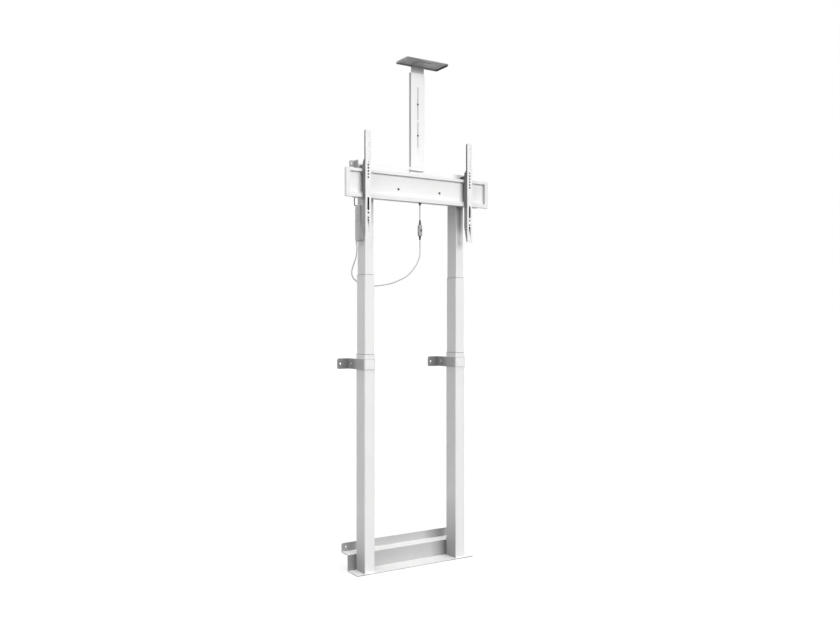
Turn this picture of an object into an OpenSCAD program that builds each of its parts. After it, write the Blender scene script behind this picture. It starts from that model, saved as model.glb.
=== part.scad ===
// Motorised wall stand for a flat screen, drawn in its raised position.
// X runs to the right, Y towards the wall and Z up; the origin lies on the floor
// midway between the two lifting columns. All sizes are in millimetres.

/* [Lift] */
// Stroke of the whole lift, shared equally by the two moving stages
stroke = 650; // [400:10:660]
// Part of each moving stage that still shows when the stand is lowered
stage_show = 13.75; // [12:0.25:30]
// Free travel left inside the column beyond each end of the stroke
stop_gap = 20; // [10:1:25]

/* [Columns] */
// Distance between the centres of the two columns
column_spacing = 465; // [430:5:520]
// Width of the outer tube across the front
outer_w = 50; // [48:1:60]
// Depth of the outer tube, front to back
outer_d = 80; // [76:1:90]
// Wall of every column tube
tube_wall = 1.5; // [1.2:0.1:2]
// Free space between one tube and the next, on each side
tube_gap = 1; // [0.9:0.1:1.4]
// Radius of the outer tube's upright corners
tube_corner_r = 7; // [6:0.5:10]
// Height of the outer tube's top edge above the floor
outer_top_z = 925.5; // [880:0.5:960]

/* [Tube caps and glides] */
// Thickness of the cap flange on a tube's top edge
cap_flange_t = 3; // [2:0.5:4]
// Amount that a cap stands proud of its tube
cap_proud = 0.5; // [0.3:0.1:0.9]
// Length of the cap's collar inside the tube
cap_collar = 40; // [25:1:60]
// Height of the glide shoe round a tube's lower end
shoe_h = 60; // [40:1:80]
// Floor of a glide shoe
shoe_floor = 3; // [2:0.5:5]
// Wall of the shoe's ring inside the tube
shoe_inner = 3; // [2:0.5:4]

/* [Floor and wall sheet] */
// Reach of the base sheet past each column's side
base_over = 38.5; // [24:0.5:60]
// Thickness of the base sheet
base_t = 3; // [2:0.5:4]
// Amount by which the floor plate reaches in front of the columns
base_front = 7; // [4:1:20]
// Height of the ledge that passes over the skirting board
ledge_z = 71.5; // [60:0.5:90]
// Height of the wall flange above the ledge
wall_flange_h = 38; // [30:1:60]
// Inner radius of each bend in the base sheet
base_bend_r = 2; // [1:0.5:3]
// Distance from the column centres to the wall
wall_y = 100; // [90:1:110]
// Distance from each end of the base sheet to its wall screw hole
wall_hole_inset = 20; // [14:1:40]
// Diameter of the wall screw holes in the base sheet
wall_hole_d = 8; // [5:0.5:10]
// Height of the wall screw holes above the ledge
wall_hole_rise = 20.3; // [16:0.1:24]
// Corner radius of the wall flange
wall_flange_r = 6; // [3:1:10]

/* [Column foot] */
// Height of the foot block inside the outer tube
foot_h = 32; // [26:1:40]
// Depth of the socket in the foot for the support tube
foot_socket = 12; // [8:1:16]
// Thread diameter of the screws that come up through the base sheet
foot_screw_d = 8; // [6:1:8]
// Distance of those screws in front of and behind the column's centre
foot_screw_y = 24; // [21:0.5:26]
// Length of those screws inside the foot
foot_screw_len = 22; // [16:1:24]

/* [Wall clamps] */
// Thickness of the clamp strap
clamp_t = 2.6; // [2:0.1:4]
// Height of the strap
clamp_h = 45; // [35:1:60]
// Distance from the outer tube's top edge down to the strap's middle
clamp_drop = 39; // [32:0.5:120]
// Inner radius of the bend between strap and wall tab
clamp_bend_r = 6; // [3:0.5:8]
// Reach of the wall tab beyond the strap
tab_len = 57; // [50:1:70]
// Corner radius of the wall tab
tab_r = 7; // [4:1:12]
// Distance from the strap to the tab's screw hole
tab_hole_out = 42.5; // [38:0.5:46]
// Diameter of the tab's screw hole
tab_hole_d = 9.5; // [6:0.5:11]
// Distance from the column centre back to the clamp bolt
clamp_bolt_y = 73; // [66:1:76]
// Thread diameter of the clamp bolt
clamp_bolt_d = 8; // [6:1:8]

/* [Spindle drive] */
// Diameter of the drive screw
drive_d = 12; // [10:0.5:12]
// Outer diameter of the hollow screw
hollow_d = 17; // [16.5:0.1:18]
// Bore of the hollow screw
hollow_bore = 13; // [12.8:0.1:14]
// Outer diameter of the support tube that stands on the foot
support_d = 24; // [23.5:0.1:25]
// Bore of the support tube
support_bore = 21; // [20.5:0.1:21.5]
// Outer diameter of the stage tube that carries the upper nut
stage_tube_d = 30; // [29:0.1:31]
// Bore of the stage tube
stage_tube_bore = 26; // [25.8:0.1:27]
// Length of the stage tube
stage_tube_len = 477; // [460:1:500]
// Length of the lower nut
lower_nut_h = 30; // [20:1:40]
// Length of the upper nut
upper_nut_h = 32; // [20:1:40]
// Thickness of the flange on each nut
nut_flange_h = 4; // [3:0.5:6]
// Height of the head on the hollow screw
hollow_head_h = 8; // [5:1:12]
// Depth to which each screw reaches below its nut when raised
screw_below_nut = 8; // [4:1:20]

/* [Head box] */
// Reach of the head box past each inner tube
head_over = 19.5; // [16:0.5:30]
// Height of the head box
head_h = 130; // [120:1:140]
// Thickness of the head box sheet
head_t = 2; // [1.5:0.5:2.5]
// Side of the cube-shaped gear housing
gearbox_side = 56; // [50:1:58]
// Depth of the drive screw's seat in the gear housing
gear_seat = 14; // [10:1:24]
// Diameter of the lift motor
motor_d = 48; // [40:1:50]
// Length of the lift motor
motor_len = 88; // [70:1:95]
// Width of the control unit
control_w = 150; // [120:5:160]
// Height of the control unit
control_h = 60; // [40:1:80]
// Depth of the control unit
control_d = 40; // [30:1:50]
// Thickness of the bracket for the screen's leads
lead_bracket_t = 2.5; // [1.5:0.5:3]
// Height of that bracket above the head box
lead_bracket_rise = 22; // [16:1:30]

/* [Cross beam] */
// Width of the beam
beam_w = 725; // [700:1:760]
// Height of the beam
beam_h = 119; // [112:1:130]
// Distance from the head box's underside down to the beam's underside
beam_drop = 17; // [12:0.5:20]
// Distance of the beam's front from the column centres
beam_front_y = 75; // [73:0.5:80]
// Thickness of the beam sheet
beam_t = 2; // [1.5:0.5:2.5]
// Depth of the recessed panel behind the rim
recess_d = 13; // [11:0.5:14]
// Width of the rim at each end
rim_end = 18; // [14:0.5:24]
// Height of the rim along the top
rim_top = 12; // [8:0.5:16]
// Height of the rim along the bottom
rim_bottom = 18; // [14:0.5:22]
// Depth of the beam's end walls
beam_end_d = 16; // [16:0.5:20]
// Depth of the beam's top wall, which the screen arms hook over
beam_hook_d = 28; // [24:0.5:30]
// Half width of the deep part of the beam's underside
under_half_w = 318; // [290:1:330]
// Distance between the two panel screws
panel_screw_spacing = 211; // [180:1:240]
// Height of the panel screws above the beam's underside
panel_screw_rise = 49.5; // [44:0.5:60]
// Thread diameter of the panel screws
panel_screw_d = 6; // [5:0.5:6]
// Width of the channels that carry the panel
bracket_w = 60; // [40:1:80]
// Height of those channels
bracket_h = 70; // [60:1:90]
// Wall of those channels
bracket_t = 3; // [2:0.5:4]

/* [Screen arms] */
// Place of the left arm along the beam
arm_left_x = -273; // [-300:1:-240]
// Place of the right arm along the beam
arm_right_x = 243; // [200:1:280]
// Width of an arm's front face
arm_w = 27; // [24:0.5:32]
// Thickness of the arm sheet
arm_t = 2; // [1.5:0.5:3]
// Reach of an arm below the beam's underside
arm_drop = 164.5; // [160:0.5:180]
// Length of an arm
arm_len = 441; // [440:1:460]
// Depth of an arm's flanges where they lie on the beam
arm_deep = 24; // [20:0.5:28]
// Depth of an arm's flanges at its upper end
arm_shallow = 10; // [8:0.5:14]
// Amount by which the arm's flanges reach into the beam's recess
arm_in_recess = 7; // [4:0.5:8]
// Diameter of the screen bolt holes
arm_hole_d = 8; // [5:0.5:9]
// Pitch of the row of round holes
arm_hole_pitch = 12.9; // [12:0.1:13]
// Number of round holes in the row
arm_hole_n = 15; // [10:1:15]
// Distance from an arm's upper end to its first hole
arm_hole_top = 15.5; // [10:0.5:20]
// Width of the long slots
arm_slot_w = 8.5; // [5:0.5:9]
// Length of the upper slot, which starts at the beam's underside
upper_slot_len = 54; // [40:1:60]
// Length of the lower slot
lower_slot_len = 58; // [40:1:60]
// Distance from an arm's lower tip to its lower slot
lower_slot_rise = 13.5; // [11:0.5:18]
// Reach of the hook back over the beam
hook_reach = 33; // [32:0.5:34]
// Height of the hook's back above the beam
hook_h = 16; // [12:0.5:20]
// Length of the hook's tail behind the beam wall
hook_tail = 12; // [6:0.5:16]

/* [Camera shelf] */
// Width of the camera arm
camera_w = 70; // [64:1:80]
// Depth of the camera arm's flanges
camera_d = 15; // [13:0.5:15]
// Length of the camera arm
camera_len = 410; // [400:1:420]
// Height of the camera arm's lower end above the head box
camera_lift = 9; // [6:0.5:14]
// Width of the slots in the camera arm
camera_slot_w = 5.5; // [5.5:0.5:8]
// Width of the shelf
shelf_w = 212; // [180:1:240]
// Depth of the shelf
shelf_d = 98; // [80:1:130]
// Height of the lip that is folded down at the shelf's sides and back
shelf_lip = 6; // [4:0.5:8]
// Corner radius of the shelf
shelf_r = 8; // [5:1:16]
// Height of the shelf's top face above the camera arm
shelf_rise = 35; // [35:1:60]
// Thickness of the arm, slider and shelf sheet
camera_t = 2; // [1.5:0.5:2.5]
// Diameter of the camera screw hole in the shelf
camera_screw_d = 7; // [6.5:0.1:8]

/* [Handset] */
// Thickness of the handset
handset_t = 12; // [11:0.5:14]
// Width of the handset
handset_w = 44; // [38:1:50]
// Height of the handset
handset_h = 150; // [130:1:160]
// Wall of the handset's shells
handset_wall = 1.5; // [1.2:0.1:2]
// Free space between the left column and the handset
handset_gap = 7.5; // [5:0.5:12]
// Diameter of the two keys
key_d = 15; // [12:0.5:18]
// Travel of a key
key_travel = 1; // [0.6:0.1:1.2]
// Length of the hanger that holds the handset under the head box
hanger_len = 43; // [30:1:60]
// Diameter of the handset cord
cord_d = 5; // [4:0.5:6]

/* [Fits] */
// Running clearance between parts that slide or turn
run = 0.3; // [0.2:0.05:0.4]
// Clearance of a part that is fitted and fastened
fit = 0.1; // [0.05:0.05:0.2]

/* [Hidden] */
$fn = 48;
eps = 0.01;
LEFT = -1;
RIGHT = 1;

// Tubes of the columns, from the outer one in
middle_w = outer_w - 2 * (tube_wall + tube_gap);
middle_d = outer_d - 2 * (tube_wall + tube_gap);
middle_r = tube_corner_r - tube_wall - tube_gap;
inner_w = middle_w - 2 * (tube_wall + tube_gap);
inner_d = middle_d - 2 * (tube_wall + tube_gap);
inner_r = middle_r - tube_wall - tube_gap;
middle_top_z = outer_top_z + stage_show + stroke / 2;
inner_top_z = middle_top_z + stage_show + stroke / 2;
middle_bottom_z = base_t + foot_h + stop_gap + shoe_floor + stroke / 2;
inner_bottom_z = middle_bottom_z + stroke / 2 + shoe_h + stop_gap;

// Spindles, which telescope with the tubes
stage_tube_top_z = middle_bottom_z + stage_tube_len;
upper_nut_z = stage_tube_top_z - upper_nut_h;
drive_bottom_z = upper_nut_z - screw_below_nut;
hollow_top_z = upper_nut_z - 1;
support_top_z = hollow_top_z - hollow_head_h - stroke / 2 - stop_gap - nut_flange_h;
hollow_bottom_z = support_top_z + nut_flange_h - lower_nut_h - screw_below_nut;
support_bottom_z = base_t + foot_h - foot_socket;
tube_head_t = 4;
tube_head_bore = drive_d + 4;

// Base sheet and wall clamps
base_w = column_spacing + outer_w + 2 * base_over;
wall_hole_x = base_w / 2 - wall_hole_inset;
foot_screw_head_d = foot_screw_d + 6;
clamp_z = outer_top_z - clamp_drop;
clamp_side_x = outer_w / 2 + clamp_t;
clamp_head_across = clamp_bolt_d * 1.625;
clamp_head_h = clamp_bolt_d * 0.6;
clamp_spacer_wall = 3;

// Head box and what it holds
head_w = column_spacing + inner_w + 2 * head_over;
head_d = inner_d;
head_bottom_z = inner_top_z;
head_top_z = head_bottom_z + head_h;
head_floor_z = head_bottom_z + head_t;
head_front_y = -head_d / 2;
cover_lip = head_d / 2 - head_t - gearbox_side / 2 - 1;
motor_neck = 8;
motor_boss_d = 16;
motor_boss_len = 6;
fin_pitch = 15;
fin_w = 8;
fin_depth = 2;
lead_tab_w = 24;
lead_tab_h = 28;
lead_tab_r = 8;
lead_hole_d = 7;
lead_hole_drop = 13;
lead_bracket_y = [-12, 23];

// Cross beam
beam_bottom_z = head_bottom_z - beam_drop;
beam_top_z = beam_bottom_z + beam_h;
panel_y = -beam_front_y + recess_d;
rim_in_x = beam_w / 2 - rim_end;
under_back_y = -(middle_d / 2 + cap_proud + 1);
panel_screw_z = beam_bottom_z + panel_screw_rise;
seam = 0.8;

// Screen arms
arm_face_y = -beam_front_y - run - arm_deep;
arm_bottom_z = beam_bottom_z - arm_drop;
arm_top_z = arm_bottom_z + arm_len;
arm_step_z = beam_top_z + 34.5;
arm_taper_z = arm_bottom_z + 71;
first_hole_z = arm_top_z - arm_hole_top;
upper_slot = [beam_bottom_z - 2 - upper_slot_len, beam_bottom_z - 2];
lower_slot = [arm_bottom_z + lower_slot_rise, arm_bottom_z + lower_slot_rise + lower_slot_len];
slot_hole_gap = [10, 6];
hook_bevel = 6;
side_hole_d = 5;

// Camera arm and shelf
camera_face_y = head_front_y - camera_d;
camera_bottom_z = head_top_z + camera_lift;
camera_top_z = camera_bottom_z + camera_len;
camera_slots = [for (z = [[57, 198], [206, 350]]) [camera_bottom_z + z[0], camera_bottom_z + z[1]]];
bolt_low_z = camera_bottom_z + 138;
bolt_high_z = camera_bottom_z + 274;
camera_bolt_d = 5;
camera_bolt_head_d = 9;
camera_foot_drop = 17;
camera_foot_up = 48;
foot_fix_x = 20;
foot_fix_z = head_top_z - 26;
slider_w = camera_w - 2 * camera_t - 2 * run;
slider_bottom_z = camera_bottom_z + 88;
slider_reach = 60;
shelf_top_z = camera_top_z + shelf_rise;
shelf_under_z = shelf_top_z - camera_t;
shelf_back_y = camera_face_y + 12;
camera_hole_y = camera_face_y - 46;

// Handset and its hanger
handset_x = -column_spacing / 2 - outer_w / 2 - handset_gap - handset_t / 2;
handset_left_x = handset_x - handset_t / 2;
handset_right_x = handset_x + handset_t / 2;
handset_back_y = 11;
handset_y = handset_back_y - handset_w / 2;
handset_r = 8;
handset_top_z = head_bottom_z - hanger_len;
handset_bottom_z = handset_top_z - handset_h;
key_up_z = handset_top_z - 38;
key_down_z = key_up_z - 26;
key_flange_w = 1.5;
key_flange_t = 1;
key_proud = key_travel + 0.2;
switch_face_x = handset_x + 0.5;
switch_w = 20;
switch_over = 13;
hanger_w = 5;
hanger_out = 7;
hanger_t = 2.5;
hanger_right_x = -column_spacing / 2 - inner_w / 2 - 1;

// Cord, with the box on its way and the reliefs at its ends
plug_d = 11;
plug_h = 22;
plug_y = handset_back_y - 6;
plug_pin_h = handset_wall;
module_x = 9.5;
module_y = -52;
module_w = 17;
module_d = 16;
module_r = 2.5;
module_top_z = beam_bottom_z - 96;
module_bottom_z = module_top_z - 48;
relief_top_z = module_top_z + 22;
relief_bottom_z = module_bottom_z - 17;
relief_wide = cord_d + 6;
relief_narrow = cord_d + 3;
gland_h = 8;
gland_d = cord_d + 4;

// Route of the cord's loop from the small box to the handset's plug. The points are
// chosen by hand, with their heights measured from the beam's underside.
LOOP_ROUTE = [
    [9.5, -52, -161], [9.5, -52, -176], [10, -52, -194], [10, -52, -214], [8, -51, -235],
    [0, -48, -259], [-12, -42, -282], [-27, -32, -305], [-47, -18, -325], [-70, 0, -339],
    [-92, 18, -350], [-115, 34, -356], [-138, 47, -360], [-162, 56, -362], [-186, 60, -361],
    [-210, 61, -357], [-232, 61, -349], [-250, 61, -338], [-262, 60, -326], [-268, 58, -310],
    [-269, 53, -294], [-269, 43, -278], [-269, 29, -261], [-269, 17, -243], [-270, 9, -225],
    [-271, 5, -208], [-271, 5, -198]
];
CORD_SIDES = 8;

STEEL_WHITE = [0.93, 0.93, 0.92];
ZINC = [0.72, 0.73, 0.75];
SCREW_STEEL = [0.55, 0.56, 0.58];
BRASS = [0.78, 0.66, 0.36];
PLASTIC_WHITE = [0.90, 0.90, 0.89];
PLASTIC_DARK = [0.22, 0.22, 0.23];
CAST_GREY = [0.35, 0.36, 0.38];
CORD_GREY = [0.86, 0.86, 0.86];

// Flat shapes

module rounded_rect(w, d, r) {
    square([w - 2 * r, d], center = true);
    square([w, d - 2 * r], center = true);
    for (x = [-1, 1], y = [-1, 1])
        translate([x * (w / 2 - r), y * (d / 2 - r)]) circle(r);
}

module rounded_ring(w, d, r, wall) {
    difference() {
        rounded_rect(w, d, r);
        rounded_rect(w - 2 * wall, d - 2 * wall, max(r - wall, 0.5));
    }
}

module slot_shape(w, len) {
    square([w, len - w], center = true);
    for (y = [-1, 1]) translate([0, y * (len - w) / 2]) circle(d = w);
}

// Solids used more than once

module column(side) {
    translate([side * column_spacing / 2, 0, 0]) children();
}

module box_tube(w, d, r, z0, z1) {
    translate([0, 0, z0]) linear_extrude(z1 - z0) rounded_ring(w, d, r, tube_wall);
}

module ring(d_out, d_in, z0, z1) {
    translate([0, 0, z0]) difference() {
        cylinder(d = d_out, h = z1 - z0);
        translate([0, 0, -1]) cylinder(d = d_in, h = z1 - z0 + 2);
    }
}

// A box given by two opposite corners
module block(a, b) {
    translate(a) cube(b - a);
}

// A hole or shaft along Y, from y0 to y1
module along_y(x, z, d, y0, y1) {
    translate([x, y0, z]) rotate([-90, 0, 0]) cylinder(d = d, h = y1 - y0);
}

// A hole or shaft along X, from x0 to x1
module along_x(y, z, d, x0, x1) {
    translate([x0, y, z]) rotate([0, 90, 0]) cylinder(d = d, h = x1 - x0);
}

module hex_x(y, z, across, x0, x1) {
    translate([x0, y, z]) rotate([0, 90, 0]) cylinder(d = across / cos(30), h = x1 - x0, $fn = 6);
}

// Pan-head screw with its axis along Y and its head towards the front
module front_screw(x, z, seat_y, d, head_d, head_h, len) {
    difference() {
        union() {
            along_y(x, z, head_d, seat_y - head_h, seat_y);
            along_y(x, z, d, seat_y - eps, seat_y + len);
        }
        translate([x, seat_y - head_h - eps, z]) rotate([-90, 0, 0])
            cylinder(d = d * 0.6, h = head_h * 0.6, $fn = 6);
    }
}

// Base

module base_profile() {
    y0 = -outer_d / 2 - base_front;
    web = outer_d / 2;
    wall = wall_y - base_t;
    top = ledge_z + wall_flange_h;
    difference() {
        union() {
            translate([y0, 0]) square([web + base_t - y0, base_t]);
            translate([web, 0]) square([base_t, ledge_z]);
            translate([web, ledge_z - base_t]) square([wall_y - web, base_t]);
            translate([wall, ledge_z - base_t]) square([base_t, top - ledge_z + base_t]);
            translate([web + base_t, ledge_z - base_t - base_bend_r])
                square(base_bend_r);
            translate([wall - base_bend_r, ledge_z]) square(base_bend_r);
        }
        translate([web + base_t + base_bend_r, ledge_z - base_t - base_bend_r]) circle(base_bend_r);
        translate([wall - base_bend_r, ledge_z + base_bend_r]) circle(base_bend_r);
        corner_cut(web, ledge_z, -1, 1);
        corner_cut(web + base_t, 0, 1, -1);
        corner_cut(wall_y, ledge_z - base_t, 1, -1);
    }
}

// Takes the sharp outer corner off a bend; sy and sz point out of the sheet
module corner_cut(y, z, sy, sz) {
    r = base_t;
    translate([y - sy * r, z - sz * r]) difference() {
        translate([sy > 0 ? 0 : -r - 1, sz > 0 ? 0 : -r - 1]) square(r + 1);
        circle(r);
    }
}

module base_plate() {
    hole_z = ledge_z + wall_hole_rise;
    top_z = ledge_z + wall_flange_h;
    color(STEEL_WHITE) difference() {
        translate([-base_w / 2, 0, 0]) rotate([90, 0, 90]) linear_extrude(base_w) base_profile();
        for (side = [LEFT, RIGHT]) {
            along_y(side * wall_hole_x, hole_z, wall_hole_d, wall_y - base_t - 1, wall_y + 1);
            translate([side * base_w / 2, 0, top_z]) flange_corner(side);
            for (y = [-1, 1]) column(side) translate([0, y * foot_screw_y, 0]) base_screw_hole();
        }
    }
}

module flange_corner(side) {
    r = wall_flange_r;
    translate([-side * r, wall_y - base_t - 1, -r]) rotate([-90, 0, 0]) linear_extrude(base_t + 2)
        difference() {
            translate([side > 0 ? 0 : -r - 1, -r - 1]) square(r + 1);
            circle(r);
        }
}

module base_screw_hole() {
    translate([0, 0, -1]) cylinder(d = foot_screw_d + 2 * fit, h = base_t + 2);
    translate([0, 0, -eps])
        cylinder(d1 = foot_screw_head_d + 2 * fit, d2 = foot_screw_d + 2 * fit, h = base_t);
}

module base_screws() {
    color(ZINC) for (side = [LEFT, RIGHT], y = [-1, 1]) column(side)
        translate([0, y * foot_screw_y, 0]) difference() {
            union() {
                translate([0, 0, fit]) cylinder(d1 = foot_screw_head_d, d2 = foot_screw_d, h = base_t - fit);
                translate([0, 0, base_t - eps]) cylinder(d = foot_screw_d, h = foot_screw_len);
            }
            cylinder(d = foot_screw_d * 0.6, h = base_t * 0.8, $fn = 6);
        }
}

module column_foot(side) {
    w = outer_w - 2 * tube_wall - 2 * fit;
    d = outer_d - 2 * tube_wall - 2 * fit;
    color(ZINC) column(side) difference() {
        translate([0, 0, base_t]) linear_extrude(foot_h) rounded_rect(w, d, tube_corner_r - tube_wall);
        translate([0, 0, support_bottom_z])
            cylinder(d = support_d + 2 * fit, h = foot_socket + 1);
        for (y = [-1, 1]) translate([0, y * foot_screw_y, base_t - 1])
            cylinder(d = foot_screw_d + 2 * fit, h = foot_screw_len + 2);
    }
}

module outer_tube(side) {
    color(STEEL_WHITE) column(side) box_tube(outer_w, outer_d, tube_corner_r, base_t, outer_top_z);
}

// Plastic cap that closes the gap round the tube inside it and guides that tube
module tube_cap(w, d, r, in_w, in_d, in_r, z) {
    color(PLASTIC_WHITE) difference() {
        union() {
            translate([0, 0, z]) linear_extrude(cap_flange_t)
                rounded_rect(w + 2 * cap_proud, d + 2 * cap_proud, r + cap_proud);
            translate([0, 0, z - cap_collar]) linear_extrude(cap_collar + eps)
                rounded_rect(w - 2 * tube_wall - 2 * fit, d - 2 * tube_wall - 2 * fit, r - tube_wall);
        }
        translate([0, 0, z - cap_collar - 1]) linear_extrude(cap_collar + cap_flange_t + 2)
            rounded_rect(in_w + 2 * run, in_d + 2 * run, in_r + run);
    }
}

module outer_cap(side) {
    column(side) tube_cap(outer_w, outer_d, tube_corner_r, middle_w, middle_d, middle_r, outer_top_z);
}

module middle_cap(side) {
    column(side) tube_cap(middle_w, middle_d, middle_r, inner_w, inner_d, inner_r, middle_top_z);
}

module support_tube(side) {
    color(ZINC) column(side)
        ring(support_d, support_bore, support_bottom_z, support_top_z);
}

module lower_nut(side) {
    color(BRASS) column(side) difference() {
        union() {
            translate([0, 0, support_top_z]) cylinder(d = stage_tube_bore - 2 * run, h = nut_flange_h);
            translate([0, 0, support_top_z - lower_nut_h + nut_flange_h])
                cylinder(d = support_bore - 2 * fit, h = lower_nut_h - nut_flange_h + eps);
        }
        translate([0, 0, support_top_z - lower_nut_h])
            cylinder(d = hollow_d + run, h = lower_nut_h + nut_flange_h + 1);
    }
}

// Wall clamps

module clamp_outline() {
    in_x = outer_w / 2;
    out_x = clamp_side_x;
    tab_x = out_x + tab_len;
    bend = clamp_bend_r;
    round = bend + clamp_t;
    difference() {
        union() {
            rounded_rect(2 * out_x, outer_d + 2 * clamp_t, tube_corner_r + clamp_t);
            translate([-out_x, 0]) square([2 * out_x, wall_y]);
        }
        rounded_rect(outer_w, outer_d, tube_corner_r);
        translate([-in_x, 0]) square([2 * in_x, wall_y + 1]);
        for (side = [LEFT, RIGHT])
            translate([side * (in_x + round), wall_y - round]) difference() {
                translate([side > 0 ? -round - 1 : 0, 0]) square(round + 1);
                circle(round);
            }
    }
    for (side = [LEFT, RIGHT]) {
        translate([side > 0 ? in_x + clamp_t : -tab_x, wall_y - clamp_t]) square([tab_len, clamp_t]);
        translate([side * (out_x + bend), wall_y - clamp_t - bend]) difference() {
            translate([side > 0 ? -bend - eps : 0, 0]) square([bend + eps, bend + eps]);
            circle(bend);
        }
    }
}

module wall_clamp(side) {
    out_x = clamp_side_x;
    y0 = wall_y - clamp_t - 1;
    color(STEEL_WHITE) column(side) translate([0, 0, clamp_z - clamp_h / 2]) difference() {
        linear_extrude(clamp_h) clamp_outline();
        along_x(clamp_bolt_y, clamp_h / 2, clamp_bolt_d + 2 * fit, -out_x - 1, out_x + 1);
        for (s = [LEFT, RIGHT]) {
            along_y(s * (out_x + tab_hole_out), clamp_h / 2, tab_hole_d, y0, wall_y + 1);
            for (top = [0, 1])
                translate([s * (out_x + tab_len - tab_r), y0, top ? clamp_h - tab_r : tab_r])
                    rotate([-90, 0, 0]) linear_extrude(clamp_t + 2) difference() {
                        translate([s > 0 ? 0 : -tab_r - 1, top ? -tab_r - 1 : 0]) square(tab_r + 1);
                        circle(tab_r);
                    }
        }
    }
}

module clamp_spacers() {
    color(ZINC) for (side = [LEFT, RIGHT]) column(side) difference() {
        along_x(clamp_bolt_y, clamp_z, clamp_bolt_d + 2 * clamp_spacer_wall, -outer_w / 2, outer_w / 2);
        along_x(clamp_bolt_y, clamp_z, clamp_bolt_d + 2 * fit, -outer_w / 2 - 1, outer_w / 2 + 1);
    }
}

module clamp_bolts() {
    x = clamp_side_x;
    h = clamp_head_h;
    color(SCREW_STEEL) for (side = [LEFT, RIGHT]) column(side) {
        hex_x(clamp_bolt_y, clamp_z, clamp_head_across, -x - h, -x);
        along_x(clamp_bolt_y, clamp_z, clamp_bolt_d, -x - eps, x + h + 2);
        hex_x(clamp_bolt_y, clamp_z, clamp_head_across, x, x + h);
    }
}

// Middle stage

module middle_tube(side) {
    color(STEEL_WHITE) column(side)
        box_tube(middle_w, middle_d, middle_r, middle_bottom_z, middle_top_z);
}

// Plastic shoe that wraps a tube's lower end; the bore lets the drive tube through
module glide_shoe(w, d, r, wrap, bore, z) {
    in_w = w - 2 * tube_wall - 2 * shoe_inner;
    in_d = d - 2 * tube_wall - 2 * shoe_inner;
    color(PLASTIC_DARK) difference() {
        translate([0, 0, z - shoe_floor]) linear_extrude(shoe_h)
            rounded_rect(w + 2 * wrap, d + 2 * wrap, r + wrap);
        translate([0, 0, z]) linear_extrude(shoe_h) difference() {
            rounded_rect(w + 2 * fit, d + 2 * fit, r + fit);
            rounded_rect(w - 2 * tube_wall - 2 * fit, d - 2 * tube_wall - 2 * fit, r - tube_wall);
        }
        translate([0, 0, z]) linear_extrude(shoe_h) rounded_rect(in_w, in_d, 1);
        translate([0, 0, z - shoe_floor - 1]) cylinder(d = bore, h = shoe_h + 2);
    }
}

module middle_shoe(side) {
    column(side) glide_shoe(middle_w, middle_d, middle_r, tube_gap - run, support_d + 2 * run,
        middle_bottom_z);
}

module stage_tube(side) {
    color(ZINC) column(side) ring(stage_tube_d, stage_tube_bore, middle_bottom_z, stage_tube_top_z);
}

module upper_nut(side) {
    color(BRASS) column(side) difference() {
        union() {
            translate([0, 0, upper_nut_z]) cylinder(d = stage_tube_bore - 2 * fit, h = upper_nut_h + eps);
            translate([0, 0, stage_tube_top_z]) cylinder(d = stage_tube_d, h = nut_flange_h);
        }
        translate([0, 0, upper_nut_z - 1]) cylinder(d = drive_d + run, h = upper_nut_h + nut_flange_h + 2);
    }
}

module hollow_screw(side) {
    len = hollow_top_z - hollow_bottom_z;
    color(ZINC) column(side) difference() {
        union() {
            translate([0, 0, hollow_bottom_z]) cylinder(d = hollow_d, h = len);
            translate([0, 0, hollow_top_z - hollow_head_h])
                cylinder(d = stage_tube_bore - 2 * run, h = hollow_head_h);
        }
        translate([0, 0, hollow_bottom_z - 1]) cylinder(d = hollow_bore, h = len + 2);
    }
}

module drive_screw(side) {
    color(ZINC) column(side)
        translate([0, 0, drive_bottom_z])
            cylinder(d = drive_d, h = head_floor_z + gear_seat - drive_bottom_z);
}

// Carriage

module inner_tube(side) {
    color(STEEL_WHITE) column(side) {
        box_tube(inner_w, inner_d, inner_r, inner_bottom_z, inner_top_z);
        translate([0, 0, inner_top_z - tube_head_t]) linear_extrude(tube_head_t) difference() {
            rounded_rect(inner_w - tube_wall, inner_d - tube_wall, inner_r);
            circle(d = tube_head_bore);
        }
    }
}

module inner_shoe(side) {
    column(side) glide_shoe(inner_w, inner_d, inner_r, tube_gap - run, stage_tube_d + 2 * run,
        inner_bottom_z);
}

// Sheet trough that joins the two column heads: floor, front, ends and top
module head_box() {
    w = head_w / 2;
    y = head_d / 2;
    color(STEEL_WHITE) difference() {
        block([-w, -y, head_bottom_z], [w, y - head_t, head_top_z]);
        block([-w + head_t, -y + head_t, head_floor_z], [w - head_t, y + 1, head_top_z - head_t]);
        for (side = [LEFT, RIGHT]) {
            column(side) translate([0, 0, head_bottom_z - 1]) cylinder(d = tube_head_bore, h = head_t + 2);
            along_y(side * foot_fix_x, foot_fix_z, camera_bolt_d + 2 * fit, -y - 1, -y + head_t + 1);
        }
    }
}

module head_cover() {
    w = head_w / 2;
    y = head_d / 2;
    color(STEEL_WHITE) {
        block([-w, y - head_t, head_bottom_z], [w, y, head_top_z]);
        for (z = [head_floor_z, head_top_z - 2 * head_t])
            block([-w + head_t + 1, y - head_t - cover_lip, z],
                [w - head_t - 1, y - head_t + eps, z + head_t]);
    }
}

module gearbox(side) {
    s = gearbox_side;
    color(CAST_GREY) column(side) translate([0, 0, head_floor_z]) difference() {
        union() {
            translate([-s / 2, -s / 2, 0]) cube([s, s, s]);
            translate([0, 0, s - eps]) cylinder(d = s * 0.6, h = 5);
        }
        translate([0, 0, -1]) cylinder(d = drive_d + run, h = gear_seat + 1 + run);
    }
}

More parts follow.
